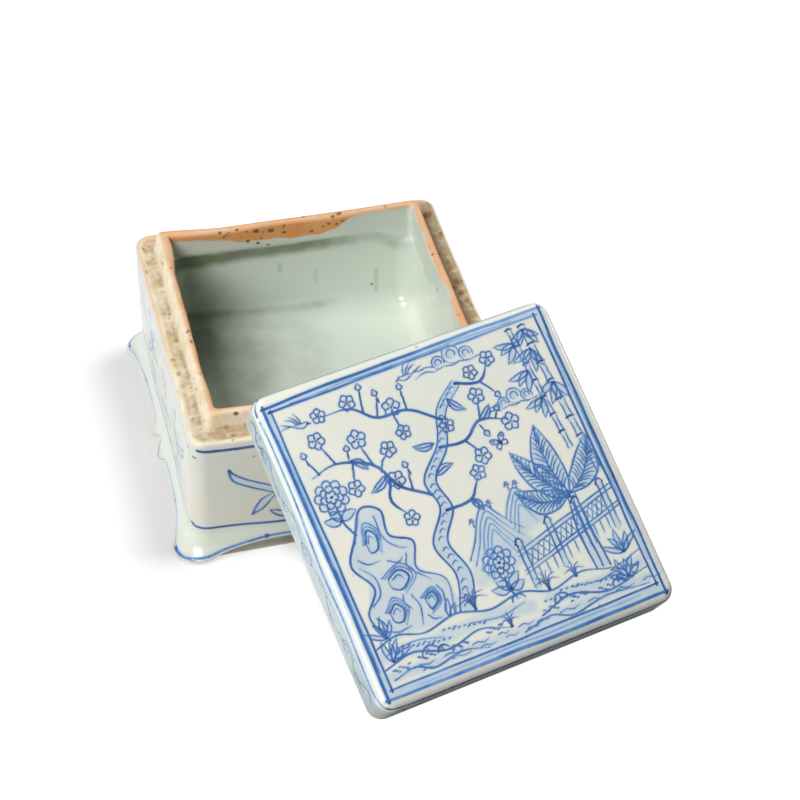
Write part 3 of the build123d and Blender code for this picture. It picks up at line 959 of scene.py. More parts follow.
def box_outside(material):
    """Glazed walls, the flared foot and the underside."""
    sheet = Sheet()
    limit = body_map
    ring = Outline(*body_points)
    along = ring.along(half_x, half_y, corner)
    own = along[0][ring.side, np.arange(ring.count)]
    own = own - lobe_shift * (ring.side == 2) * (1 - np.clip(own / half_y, -1, 1) ** 2)
    low = arch(own)
    cut = smooth(np.abs(own), 2.2, 7.0) * (1 - smooth(np.abs(own), 36, 44.5))
    edge = np.maximum(low + 0.1, toe_height)
    right, front = np.clip(ring.nx, 0, 1) ** 2, np.clip(-ring.ny, 0, 1) ** 2
    front = np.maximum(front, np.clip(-ring.nx, 0, 1) ** 2 * smooth(-ring.ey, -0.1, 0.8))
    rows, tint, bare, soot_and_shade_rows = [], [], [], []

    def row(out, z, green_and_shade=0.0, clay=-FAR, soot_and_shade=0.0):
        rows.append((half_x + out, half_y + out, corner + out, z))
        soot_and_shade_rows.append(np.broadcast_to(soot_and_shade, ring.count))
        tint.append(np.broadcast_to(green_and_shade, ring.count))
        bare.append(np.broadcast_to(clay, ring.count))

    for angle, c, s in rounding(6, 90, 0):
        row(-ledge_round + ledge_round * c, ledge_height - ledge_round + ledge_round * s, 0.0,
            (0.25 - 0.9 * (90 - angle) / 90) * (1 - right - front) + 1.2 * right
            + (0.9 if angle > 60 else -0.9) * front)
    for z in np.arange(ledge_height - 1.0, flare_top, -0.45):
        row(flare_start_out * (ledge_height - z) / (ledge_height - flare_top), z, 0.0,
            -0.75 - (ledge_height - z) * 0.5)
    for t in np.linspace(0, 1, 20):
        z = flare_top + (edge - flare_top) * t
        row(flare(z), z, 0.8 * (1 - abs(2 * t - 1)))
    reach = flare(edge)
    for foot_out, foot_z, arch_in, arch_drop, green_and_shade, clay in (
            (5.0, 0.65, 0.02, 0.25, 0.2, -0.6), (4.92, 0.3, 0.2, 0.45, 0.3, -0.1),
            (4.4, 0.0, 0.6, 0.5, 0.5, 0.5)):
        out = foot_out * (1 - cut) + (reach - arch_in) * cut
        z = foot_z * (1 - cut) + np.maximum(edge - arch_drop, 0.02) * cut
        row(out, z, green_and_shade, clay * (1 - cut) - 1.0 * cut)
    inner_z = np.maximum(edge - 0.55, 0.0) * cut
    # Foot ring behind the arches: these values grey its glaze there as painted shade under the flared foot,
    # and grey the bare clay at the corners with soot and painted shade
    for more, share, soot_and_shade, clay in ((0.5, 1.0, 0.7, -1.6), (0.1, 0.92, 0.95, -1.6), (0.0, 0.5, 0.9, -1.4),
                                    (0.0, 0.2, 0.7, -0.8)):
        row(plinth_out + more * (1 - cut), inner_z * share, 0.3, 0.7 * (1 - cut) + clay * cut, soot_and_shade)
    row(plinth_out - 0.05, 0.0, 1.0, 0.1)
    grid = stack(ring, rows, hand_made)
    grid[:, :, 2] = np.maximum(grid[:, :, 2], 0)
    painted = paint_sides(along, grid[:, :, 2], 4, side_paint)
    strip(sheet, ring, grid, along, limit, tint=np.array(tint), bare=np.array(bare), dirt=np.array(soot_and_shade_rows),
          **painted)

    # Foot ring and the recessed base
    few = Outline(*hidden_points)
    rows = [(half_x + plinth_out - 0.05, half_y + plinth_out - 0.05, corner + plinth_out, 0.0),
            (recess_half + 0.3, recess_half + 0.3, recess_corner, 0.0),
            (recess_half, recess_half, recess_corner, 0.3)]
    for _, c, s in rounding(6):
        size = recess_half - recess_round * (1 - c)
        rows.append((size, size, recess_corner, recess_depth - recess_round * (1 - s)))
    for t in (0.8, 0.5, 0.02):
        size = (recess_half - recess_round) * t
        rows.append((size, size, recess_corner * t, recess_depth))
    rings = stack(few, rows, hand_made)
    rings[:, :, 2] = np.maximum(rings[:, :, 2], 0)
    clay = np.full(rings.shape[:2], -1.5)
    clay[:2], clay[2] = 1.0, 0.0
    disc(sheet, rings, limit, bare=clay, tint=0.3)
    return sheet.object("box_body_outside", Matrix.Identity(4), material)


# Burnt iron spots on the rim and inside: place and size
spots = (
    (-18.4, 37.2, 43.0, 0.6), (-25.5, 38.1, 42.8, 0.9), (4.8, 35.8, 43.0, 0.7), (-16.8, 34.4, 43.0, 0.35),
    (-22.2, 34.4, 42.6, 0.5), (14.2, 34.6, 42.8, 0.8), (16.0, 35.4, 43.0, 0.9), (-10.7, 34.4, 41.5, 1.3),
    (-5.8, 34.4, 40.8, 1.5), (-13.5, 34.4, 38.3, 0.8), (-10.3, 34.4, 37.2, 0.8), (-7.0, 34.6, 35.4, 1.0),
    (-20.8, 34.4, 41.0, 0.6), (7.2, 34.4, 38.9, 0.8), (-1.6, 34.4, 39.4, 0.6), (12.9, 34.4, 40.9, 0.7),
    (-37.9, 39.2, 38.3, 1.2), (-41.5, 27.5, 38.3, 0.8), (-40.3, 37.7, 38.3, 0.7), (-39.3, 9.9, 38.3, 0.6),
    (-38.2, -1.7, 38.3, 0.9), (-40.5, -9.0, 38.3, 0.5), (-40.6, -11.0, 38.3, 0.5),
    (-40.2, -14.8, 38.3, 0.6), (-39.3, -33.2, 38.3, 0.6), (-36.6, 27.1, 42.0, 0.6),
    (-35.4, -9.5, 43.0, 0.6), (-35.3, -4.8, 43.0, 0.5), (-37.2, -25.9, 40.6, 0.5),
    (-37.2, -22.0, 40.8, 0.5), (-31.7, -36.7, 42.2, 1.0), (-28.3, -37.5, 38.9, 1.3),
    (-34.9, -37.5, 38.9, 0.9), (-31.8, -39.8, 38.3, 0.6), (41.2, 25.7, 38.3, 1.1), (38.6, 37.0, 38.3, 2.0),
    (39.9, 36.1, 38.3, 1.4), (38.2, 18.3, 38.3, 0.6), (39.8, 13.8, 38.3, 0.8), (39.5, 10.7, 38.3, 0.9),
    (39.6, 4.6, 38.3, 1.9), (38.6, 2.3, 38.3, 1.4), (39.6, -0.4, 38.3, 1.5), (40.6, -4.0, 38.3, 0.9),
    (41.0, -6.1, 38.3, 0.8), (38.9, -5.1, 38.3, 0.6), (35.2, 13.5, 43.0, 0.6), (34.5, 5.5, 36.4, 0.7),
    (30.4, 34.8, 17.0, 0.7), (17.4, 34.4, 41.0, 0.8), (15.4, 34.4, 40.4, 0.6), (11.0, 34.4, 39.8, 0.5),
    (-19.6, 34.4, 42.4, 0.4),
)


def box_rim(material):
    """The bare ledge, flange and rim, and the glazed inside."""
    sheet = Sheet()
    limit = body_map
    ring = Outline(*body_points)
    along = ring.along(half_x, half_y, corner)
    way = along[1][:-1]

    def by_side(right, back, left, front):
        """A value for each side, blended round the corners."""
        across, through = np.where(ring.nx > 0, right, left), np.where(ring.ny > 0, back, front)
        return ring.nx ** 2 * across + ring.ny ** 2 * through

    rows = []
    fields = {"bare": [], "burn": [], "dirt": [], "tint": []}

    def row(size_x, size_y, radius, z, bare, burn=0.0, dirt=0.0, tint=0.0):
        rows.append((size_x, size_y, radius, z))
        for key, value in zip(fields, (bare, burn, dirt, tint)):
            fields[key].append(np.broadcast_to(value, ring.count))

    # Ledge, burnt along its outer arris, with dirt, and painted shade against the flange and over the right
    # side
    foot = 0.3
    near_front = smooth(-ring.ey, -0.1, 0.8)
    for t in np.linspace(0, 1, 13):
        size_x = (half_x - ledge_round) * (1 - t) + (flange_half + foot) * t
        size_y = (half_y - ledge_round) * (1 - t) + (flange_half + foot) * t
        radius = (corner - ledge_round) * (1 - t) + (flange_corner + foot) * t
        arris, inward = 1 - smooth(t, 0, 0.2), smooth(t, 0, 0.35)
        burn = by_side(0.0, 0.4, 0.0, 0.04) + by_side(0.0, 0.2, 0.4 * (1 - near_front), 0.0) * arris
        # Dirt, and painted shade: the right side's ledge is darkened all over, and each ledge most against
        # the flange
        dirt = by_side(0, 0.5, 0.65, 0.9) * smooth(t, 0.05, 0.4) + by_side(1.05, 0, 0, 0)
        dirt = dirt + by_side(0.8, 0.3, 0.3, 0.3) * smooth(t, 0.7, 1)
        bare = 0.3 + 2.2 * inward + by_side(1, 0, 0.7 * near_front, 0.7) * (1 - inward)
        row(size_x, size_y, radius, ledge_height - 0.12 * sin(pi * t), bare, burn, dirt)

    # Flange: cream outside and burnt towards its inner edge
    slope = tan(radians(flange_draft))
    for t in np.linspace(0, 1, 11):
        rise = foot + (flange_height - flange_round - foot) * t
        size = flange_half - slope * rise
        row(size, size, flange_corner - slope * rise, ledge_height + rise, 2.5,
            by_side(0.2, 0.75, 0.0, 0.06) + 0.05 * t,
            0.5 * (1 - smooth(t, 0, 0.3)) + by_side(0.05, 0.1, 0.05, 0.2))
    top_out = flange_half - slope * flange_height
    for _, c, s in rounding(5, 22):
        size = top_out - flange_round * (0.83 - c)
        row(size, size, 1.4, flange_top - flange_round + flange_round * s, 2.5,
            by_side(0.7, 0.95, 0.18, 0.2), by_side(0.05, 0.15, 0.05, 0.1))
    on_left, on_right = by_side(0, 0, 1, 0), by_side(1, 0, 0, 0)
    wave = 0.3 * ripple(way, 4, 47.0) - 1.3 * on_left * smooth(-along[0][2], 19, 33)
    rim_round = 1.1
    shape = np.array(((-36, 1.9), (-29, 2.3), (-21, 3.2), (-14, 4.2), (-6, 5.2), (3, 5.7), (11, 5.0),
                      (16.5, 3.6), (19, 1.4), (21, 0.6), (36, 0.6)))
    patch = np.interp(-along[0][1], shape[:, 0], shape[:, 1])
    patch = np.convolve(np.concatenate([patch[-4:], patch, patch[:4]]), np.ones(9) / 9, "valid")
    chips = 0.55 * ripple(way, 2, 23.0) + 0.3 * ripple(way, 7, 9.0)
    reach = by_side(0.15, 0, 1.3, 1.0) + by_side(0.3, 1, 1, 1) * chips
    reach = np.where(ring.side == 1, np.maximum(patch + 0.5 * chips * smooth(patch, 0, 2), 0.3), reach)
    heat = by_side(0.95, 0.9, 0.9, 0.8)
    for angle, c, s in rounding(9, 90, 0):
        size = mouth_half + rim_round * (1 - c) + wave * c
        down = rim_round * (1 - s)
        burn = heat * (0.55 + 0.45 * (1 - angle / 90))
        row(size, size, mouth_corner + rim_round * (1 - c) * 0.5, flange_top - down, reach - down, burn,
            0.08, 0.1)
    lower = flange_top - rim_round
    strip_tint = by_side(0.75, 0.15 + 0.65 * smooth(ring.ex, -0.3, 0.5), 0.5, 0.5)
    for z in np.arange(lower - 0.35, shoulder_height + 0.9, -0.4):
        row(mouth_half + wave, mouth_half + wave, mouth_corner, z, reach - (flange_top - z), heat, 0.05,
            strip_tint)

    # Shoulder, chamber wall and the rounded corner of the floor, with painted shade: a dark band under the
    # shoulder, the left side and the back wall's left end darker, and a shade line in the crease at the
    # back of the floor
    right_end = (ring.side == 1) * np.clip((ring.ex * 34 - 26) / 8, 0, 1) ** 2
    dip = 0.35 * ripple(way, 5, 90.0) - 3.6 * (on_right + right_end * (1 - on_right))
    # Painted shade under the shoulder and down the top of the chamber wall: strongest at the back wall's
    # left end and on the left, least on the right
    shade = 1.05 - 0.6 * smooth(ring.ex, 0.1, 0.8)
    shade_under_mouth = by_side(0, 0.65 - 0.65 * smooth(ring.ex, -0.3, 0.5) + shade, 1.0, 0.6)
    for rise, out in ((0.9, 0.02), (0.5, 0.12), (0.0, 0.42), (-0.4, 0.75), (-1.0, 0.9)):
        size = mouth_half + out + wave * (1 - out)
        row(size, size, mouth_corner + 4.5 * out / 0.9, shoulder_height + rise + dip, -FAR, 0, 0,
            strip_tint + shade_under_mouth * smooth(0.9 - rise, 0.2, 1.9))
    lean_in = tan(radians(chamber_draft))
    # Painted shade: the left wall is darkened to olive, and the back wall more towards its left end
    wall_green_and_shade = by_side(0.7, 0.8 + 0.4 * smooth(-ring.ex, 0.3, 0.95), 1.8, 0.8)

    def floor_green_and_shade(x, y):
        """The floor's green, with painted shade that darkens it towards the left, and most at the back."""
        return 0.72 + 0.25 * smooth(-x, -25, 0) + 0.35 * smooth(-x, -26, 24) * smooth(y, -26, 12)

    for z in np.linspace(shoulder_height - 1.6, floor_height + floor_round, 24):
        size = chamber_half - lean_in * (shoulder_height - z)
        share = smooth(z, floor_height + floor_round, shoulder_height - 1.6)
        row(size, size, chamber_corner, z + dip * share, -FAR, 0, 0,
            wall_green_and_shade + by_side(0.1, shade, 0.5, 0.4) * (1 - smooth(shoulder_height - 1.6 - z, 0.5, 4.5)))
    bottom = chamber_half - lean_in * (shoulder_height - floor_height - floor_round)
    crease_end = 1 - smooth(ring.ex, 0.2, 0.8)
    for angle, c, s in rounding(10, 9):
        inset = floor_round * (1 - c)
        size, radius, share = bottom - inset, chamber_corner - inset, smooth(angle, 0, 90)
        # A painted shade line along the crease between the back wall and the floor
        crease_shade = by_side(0.0, 0.42, 0.0, 0.0) * np.exp(-((angle - 32) / 16) ** 2) * crease_end
        tint = wall_green_and_shade * (1 - share) + floor_green_and_shade(*ring.at(size, size, radius)) * share + crease_shade
        row(size, size, radius, floor_height + floor_round * (1 - s), -FAR, 0, 0, tint)
    grid = stack(ring, rows, hand_made)
    settle(grid)
    fields = {key: np.array(value) for key, value in fields.items()}
    across, height = grid[:, :, 0], grid[:, :, 2]
    for x, high, low in ((7.1, 26.0, 18.0), (24.4, 22.5, 12.0), (-3.0, 30.0, 24.0)):
        on_back = (ring.side == 1) & (np.abs(across - x) < 3)
        streak = np.exp(-((across - x) / 0.9) ** 2) * smooth(high - height, 0, 2)
        fields["tint"] += 0.4 * (streak * smooth(height - low, 0, 2)) * on_back
    profile = np.array([(np.max(size_x), np.mean(z)) for size_x, size_y, radius, z in rows])
    run = run_along(profile)

    def burnt_spots(side, brush):
        """The iron spots of one side; those on the ledge are rusty stains."""
        for x, y, z, size in spots:
            out = max(abs(x), abs(y))
            if side == ((0 if x > 0 else 2) if abs(x) > abs(y) else (1 if y > 0 else 3)):
                closest = np.hypot(profile[:, 0] - out, profile[:, 1] - z).argmin()
                on_ledge = shoulder_height < z < ledge_height + 1 and out > flange_half - 1
                brush.iron((y, -x, -y, x)[side], run[closest], size * (1.3 if on_ledge else 1),
                           rusty=on_ledge)

    painted = paint_sides(along, np.broadcast_to(run[:, None], grid.shape[:2]), 2, burnt_spots)
    strip(sheet, ring, grid, along, limit, **fields, **painted)

    # Chamber floor
    size = bottom - floor_round
    rings = stack(ring, [(size * t, size * t, (chamber_corner - floor_round) * t, floor_height)
                         for t in (1.0, 0.92, 0.8, 0.65, 0.5, 0.3, 0.02)], hand_made)
    settle(rings)
    disc(sheet, rings, limit, tint=floor_green_and_shade(rings[:, :, 0], rings[:, :, 1]))
    return sheet.object("box_body_inside", Matrix.Identity(4), material)


def settle(grid):
    """Tilts the chamber's floor, which is higher on the left."""
    grid[:, :, 2] -= 0.06 * grid[:, :, 0] * (1 - smooth(grid[:, :, 2], 12, 26))


# Cover


def cover_pieces(material, place):
    """The painted top, and the sides with the lip and the inside."""
    sheet = Sheet()
    limit = cover_map
    spacing = 0.27
    turns = np.radians(np.linspace(0, 90, 9))

    def lines(half):
        """Grid lines across the top: close together over the rounded edges."""
        edge = cover_round * (1 - np.cos(turns))
        flat = np.linspace(-(half - cover_round), half - cover_round,
                           int(2 * (half - cover_round) / spacing))
        return np.concatenate([-(half - edge[:-1]), flat, (half - edge[:-1])[::-1]])

    ux, uy = lines(half_x), lines(half_y)
    x, y = np.meshgrid(ux, uy, indexing="xy")
    sx = np.clip((np.abs(x) - (half_x - corner)) / corner, 0, 1)
    sy = np.clip((np.abs(y) - (half_y - corner)) / corner, 0, 1)
    both = (sx > 0) & (sy > 0)
    reach = np.maximum(sx, sy)
    with np.errstate(divide="ignore", invalid="ignore"):
        angle = np.where(sx >= sy, pi / 4 * sy / sx, pi / 2 - pi / 4 * sx / sy)
    px = np.where(both, np.sign(x) * (half_x - corner + corner * reach * np.cos(angle)), x)
    py = np.where(both, np.sign(y) * (half_y - corner + corner * reach * np.sin(angle)), y)
    inset = np.where(both, corner * (1 - reach), np.minimum(half_x - np.abs(x), half_y - np.abs(y)))
    drop = np.clip(cover_round - inset, 0, cover_round)
    z = cover_height - cover_round + np.sqrt(cover_round ** 2 - drop ** 2)
    z = z + 0.10 * ripple(px + 0.6 * py, 3, 53.0) * smooth(inset, 0, 4) - 0.25 * smooth(inset, 3, 30)
    top = np.stack([px, py, z], 2)
    brush = Brush(px, py)
    frame_lines(brush)
    garden(brush)
    edge_line(brush)
    for sx, sy, size in ((4.2, 40.9, 0.4), (-35.4, -8.0, 0.35), (21.0, -37.0, 0.3)):
        brush.iron(sx, sy, size)
    rows, columns = z.shape
    row, column = quads(rows - 1, columns - 1)
    run_x = run_along(top[rows // 2][:, [0, 2]])
    run_y = run_along(top[:, columns // 2][:, [1, 2]])
    uv = np.stack([run_x[column], run_y[row]], 2) + sheet.place(run_x[-1], run_y[-1], limit)
    edge_tint = 0.25 * (1 - smooth(inset, 0.3, 3.0))
    sheet.add(top, (row, column), uv, tint=edge_tint, **brush.values())
    painted_top = sheet.object("cover_top", place, material)
    sheet = Sheet()

    # Sides, lip and the inside, on the outline of the top's own edge
    dense = Outline(*cover_points)
    along = dense.along(half_x, half_y, corner)
    ring_rows, clay, green_and_shade = [], [], []

    def ring(inward, radius, height, depth, green):
        ring_rows.append((half_x - inward, half_y - inward, radius, height))
        clay.append(np.full(dense.count, depth))
        # The left side's glaze is made greener and darker than the others: painted shade
        green_and_shade.append(green * (1 + 1.3 * np.clip(-dense.nx, 0, 1) ** 2))

    for height in np.arange(cover_height - cover_round, lip_round, -0.45):
        ring(0.0, corner, height, -FAR if height > 1.2 else -0.5, 0.5)
    for turn, c, s in rounding(4):
        ring(lip_round * (1 - c), corner - lip_round * (1 - c), lip_round * (1 - s), 0.1 + 0.5 * turn / 90,
             0.1)
    grid = stack(dense, ring_rows)

    def tendril(side, brush):
        """A pale wash and the tendril over it; the left side's is the boldest."""
        brush.band([(-42, 5), (42, 5)], 9.0, level=(0.26, 0.26, 0.32, 0.2)[side], soft=1.5)
        scroll(brush, -37, 37, 2.2, 8.4, (0.0, 0.0, 0.25, 0.0)[side])

    painted = paint_sides(along, grid[:, :, 2], 2, tendril, over=True)
    strip(sheet, dense, grid, along, limit, bare=np.array(clay), tint=np.array(green_and_shade), **painted)

    few = Outline(*hidden_points)
    ring_rows, clay = [], []
    for inward, radius, height, depth in (
            (lip_round, corner - lip_round, 0.0, 0.8), (skirt / 2, 3.4, -0.02, 1.2),
            (skirt - lip_round, inside_corner + lip_round, 0.0, 0.8),
            (skirt - 0.1, inside_corner + 0.1, 0.2, 0.5), (skirt, inside_corner, lip_round, 0.0),
            (skirt, inside_corner, 2.0, -1.0),
            (skirt, inside_corner, cover_height - panel - inside_round, -FAR)):
        ring_rows.append((half_x - inward, half_y - inward, radius, max(height, 0.0)))
        clay.append(depth)
    for _, c, s in rounding(6, 15):
        inward = skirt + inside_round * (1 - c)
        ring_rows.append((half_x - inward, half_y - inward, inside_corner,
                          cover_height - panel - inside_round * (1 - s)))
        clay.append(-FAR)
    for t in (0.8, 0.5, 0.02):
        inward = half_x - (half_x - skirt - inside_round) * t
        ring_rows.append((half_x - inward, half_y - inward, inside_corner * t, cover_height - panel))
        clay.append(-FAR)
    grid = stack(few, ring_rows)
    clay = np.broadcast_to(np.array(clay)[:, None], grid.shape[:2])
    disc(sheet, grid, limit, bare=clay, tint=0.7)
    return painted_top, sheet.object("cover_sides", place, material)


# Materials


def colour(r, g, b):
    """sRGB 0 to 255 as linear values."""
    def linear(v):
        v = v / 255
        return v / 12.92 if v <= 0.04045 else ((v + 0.055) / 1.055) ** 2.4
    return (linear(r), linear(g), linear(b), 1.0)


class Nodes:
    """Short calls for the nodes of a material or a world. An input may be a socket or a plain value."""

    def __init__(self, owner):
        self.owner = owner
        owner.use_nodes = True
        self.tree = owner.node_tree
        self.tree.nodes.clear()

    def node(self, kind, inputs=(), **settings):
        node = self.tree.nodes.new(kind)
        for key, value in settings.items():
            setattr(node, key, value)
        for key, value in dict(inputs).items():
            self.put(node.inputs[key], value)
        return node

    def put(self, socket, value):
        if isinstance(value, bpy.types.NodeSocket):
            self.tree.links.new(value, socket)
        else:
            socket.default_value = value

    def value(self, name):
        return self.node("ShaderNodeAttribute", attribute_name=name).outputs["Fac"]

    def math(self, kind, a, b=0.0):
        return self.node("ShaderNodeMath", {0: a, 1: b}, operation=kind).outputs[0]

    def ease(self, value, low, high, to_low=0.0, to_high=1.0):
        inputs = {"Value": value, "From Min": low, "From Max": high, "To Min": to_low, "To Max": to_high}
        return self.node("ShaderNodeMapRange", inputs, interpolation_type="SMOOTHSTEP").outputs[0]

    def mix(self, amount, a, b, kind="MIX"):
        node = self.node("ShaderNodeMix", data_type="RGBA", blend_type=kind)
        self.put(node.inputs["Factor"], amount)
        self.put(node.inputs[6], a)
        self.put(node.inputs[7], b)
        return node.outputs[2]

    def where(self, shift):
        """The piece's own coordinates, moved so that patterns differ."""
        place = self.node("ShaderNodeTexCoord").outputs["Object"]
        if shift:
            place = self.node("ShaderNodeVectorMath", {0: place, 1: (shift,) * 3},
                              operation="ADD").outputs[0]
        return place

    def swing(self, noise, reach):
        """A noise moved to lie about zero."""
        return self.math("MULTIPLY", self.math("SUBTRACT", noise, 0.5), reach)

    def noise(self, scale, detail=2.0, roughness=0.5, shift=0.0):
        inputs = {"Vector": self.where(shift), "Scale": scale, "Detail": detail, "Roughness": roughness}
        return self.node("ShaderNodeTexNoise", inputs).outputs["Fac"]

    def cells(self, scale, shift=0.0):
        node = self.node("ShaderNodeTexVoronoi", {"Vector": self.where(shift), "Scale": scale})
        return node.outputs["Distance"], node.outputs["Color"]


cover_warm, cover_cool = colour(238, 236, 223), colour(230, 233, 222)
body_warm, body_cool = colour(213, 210, 195), colour(208, 210, 199)
glaze_green = colour(208, 217, 206)
# Olive of glaze in drips, also used as painted shade inside the box and on the cover's left side
glaze_pool_and_shade = colour(120, 128, 104)
# Grey of soiled glaze, also used as painted shade under the foot's arches
glaze_soil_and_shade = colour(126, 121, 108)
wash_blue = colour(150, 188, 224)
ink_light = colour(116, 162, 214)
ink_mid = colour(58, 110, 178)
ink_dark = colour(20, 54, 120)
clay_cream = colour(238, 230, 209)
clay_tan = colour(220, 206, 173)
clay_orange = colour(223, 148, 79)
clay_grey = colour(172, 153, 118)
clay_brown = colour(130, 78, 38)
rust_red = colour(142, 80, 36)
iron_brown = colour(60, 34, 20)
glaze_rough, clay_rough, glaze_ior = 0.15, 0.78, 1.5


def porcelain(name, warm, cool):
    """Clear glaze over blue brushwork, with bare burnt clay where the vertex values say so."""
    n = Nodes(bpy.data.materials.new(name))
    wide = n.noise(45.0, 3.0, 0.55)
    grain = n.noise(900.0, 4.0, 0.6, 3.0)
    fine = n.noise(2600.0, 2.0, 0.5, 7.0)
    cloudy = n.noise(160.0, 4.0, 0.6, 5.0)

    # Glaze: warm or cool white, greener where it lies deep, dark olive in drips and where shade is painted
    # inside the box, and grey where it is soiled and where shade is painted under the foot's arches
    base = n.mix(n.ease(wide, 0.35, 0.68), warm, cool)
    green_and_shade = n.math("MULTIPLY", n.value("tint"), n.ease(cloudy, 0.1, 0.9, 0.85, 1.1))
    base = n.mix(n.ease(green_and_shade, 0.0, 1.0), base, glaze_green)
    base = n.mix(n.ease(green_and_shade, 0.8, 2.0), base, glaze_pool_and_shade)
    base = n.mix(n.value("dirt"), base, glaze_soil_and_shade)

    # Blue: a soft wash, a pale halo and the line itself
    wobble = n.swing(grain, 0.16)
    ink = n.math("ADD", n.value("ink"), wobble)
    patchy = n.ease(cloudy, 0.25, 0.75, 0.72, 1.15)
    base = n.mix(n.math("MULTIPLY", n.value("wash"), patchy), base, wash_blue)
    base = n.mix(n.ease(ink, 0.0, 0.75, 0.24, 0.0), base, wash_blue)
    tone = n.math("ADD", n.value("tone"), n.ease(cloudy, 0.25, 0.75, -0.12, 0.12))
    pigment = n.mix(n.ease(tone, 0.2, 0.6), ink_light, ink_mid)
    pigment = n.mix(n.ease(tone, 0.55, 1.0), pigment, ink_dark)
    base = n.mix(n.ease(ink, -0.12, 0.14, 0.96, 0.0), base, pigment)

    # Small pinholes and iron specks in the glaze
    spot, spot_colour = n.cells(150.0, 2.0)
    rare = n.math("GREATER_THAN", n.node("ShaderNodeSeparateColor", {0: spot_colour}).outputs[0], 0.93)
    hole = n.math("MULTIPLY", n.ease(spot, 0.03, 0.055, 0.75, 0.0), rare)
    base = n.mix(hole, base, iron_brown)

    # Bare clay: cream to tan, grimy in places and darker where shade is painted on the ledge, burnt orange
    # at the edges, with dark grains
    clay = n.mix(n.ease(cloudy, 0.3, 0.72), clay_cream, clay_tan)
    grime_and_shade = n.math("MULTIPLY", n.value("dirt"), n.ease(n.noise(300.0, 5.0, 0.7, 13.0), 0.3, 0.7, 0.35, 1.4))
    clay = n.mix(grime_and_shade, clay, clay_grey)
    heat = n.math("MULTIPLY", n.value("burn"), n.ease(wide, 0.2, 0.75, 0.75, 1.2))
    clay = n.mix(heat, clay, clay_orange)
    stain_spot, stain_colour = n.cells(480.0, 9.0)
    stained = n.math("GREATER_THAN", n.node("ShaderNodeSeparateColor", {0: stain_colour}).outputs[1], 0.8)
    ragged = n.math("ADD", stain_spot, n.math("MULTIPLY", wobble, 1.5))
    clay = n.mix(n.math("MULTIPLY", n.ease(ragged, 0.06, 0.26, 0.75, 0.0), stained), clay, clay_brown)
    clay = n.mix(n.ease(grain, 0.62, 0.78, 0.0, 0.4), clay, clay_brown)
    depth = n.math("ADD", n.value("bare"), n.swing(cloudy, 0.9))
    bare = n.ease(depth, -0.08, 0.1)
    rim_line = n.math("MULTIPLY", n.ease(depth, -0.5, -0.05), n.ease(depth, 0.1, 0.5, 1.0, 0.0))
    base = n.mix(bare, base, clay)
    base = n.mix(n.math("MULTIPLY", rim_line, 0.42), base, clay_orange)
    blotch = n.swing(n.noise(520.0, 3.0, 0.6, 17.0), 1.6)
    stain = n.math("ADD", n.value("stain"), blotch)
    base = n.mix(n.ease(stain, -0.6, 0.6, 0.8, 0.0), base, rust_red)
    speck = n.math("ADD", n.value("speck"), n.math("MULTIPLY", blotch, 0.5))
    iron = n.mix(n.ease(cloudy, 0.35, 0.65), iron_brown, clay_brown)
    base = n.mix(n.ease(speck, -0.12, 0.3, 0.9, 0.0), base, iron)

    # Grain of the clay and slow waves of the glaze, then gloss or dullness
    height = n.math("ADD", n.math("MULTIPLY", bare, n.math("MULTIPLY", fine, 0.5)),
                    n.math("MULTIPLY", n.noise(380.0, 2.0, 0.5, 11.0), 0.35))
    bump = n.node("ShaderNodeBump", {"Strength": 0.25, "Distance": 0.0002, "Height": height})
    rough = n.node("ShaderNodeMix", {"Factor": bare, 2: glaze_rough, 3: clay_rough},
                   data_type="FLOAT").outputs[0]
    shader = n.node("ShaderNodeBsdfPrincipled", {"Base Color": base, "Roughness": rough, "IOR": glaze_ior,
                                                 "Normal": bump.outputs[0]})
    n.node("ShaderNodeOutputMaterial", {"Surface": shader.outputs[0]})
    return n.owner


body_glaze = porcelain("body_porcelain_painted", body_warm, body_cool)
body = (box_outside(body_glaze), box_rim(body_glaze))
for piece in body:
    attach(piece, "box_body")
    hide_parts("box_body")

along_lip = Matrix.Rotation(radians(lean_turn), 3, "Z") @ Vector((1, 0, 0))
up_slope = Matrix.Rotation(radians(lean_turn), 3, "Z") @ Vector((0, cos(lean_angle), sin(lean_angle)))
out_of_top = along_lip.cross(up_slope)
middle = Vector((*lower_lip, -lip_drop)) + up_slope * half_y
lean = Matrix((along_lip, up_slope, out_of_top)).transposed().to_4x4()
lean.translation = middle * MM
lid = cover_pieces(porcelain("cover_porcelain_painted", cover_warm, cover_cool), lean)
for piece in lid:
    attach(piece, "cover")
    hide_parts("cover")

# Camera
e, a, roll = radians(camera_elevation), radians(camera_azimuth), radians(camera_roll)
back = Vector((sin(a) * cos(e), -cos(a) * cos(e), sin(e)))
level = Vector((0, 0, 1)).cross(back).normalized()
upright = back.cross(level)
right = level * cos(roll) + upright * sin(roll)
up = upright * cos(roll) - level * sin(roll)
camera_data = bpy.data.cameras.new("camera")
camera_data.sensor_width = 36.0
camera_data.lens = camera_data.sensor_width * focal_px / photo_px
camera_data.clip_start, camera_data.clip_end = 0.01, 20.0
camera = bpy.data.objects.new("camera", camera_data)
camera_place = Matrix((right, up, back)).transposed().to_4x4()
camera_place.translation = (right * aim_right + up * aim_up + back * camera_distance) * MM
camera.matrix_world = camera_place
bpy.context.scene.collection.objects.link(camera)
bpy.context.scene.camera = camera

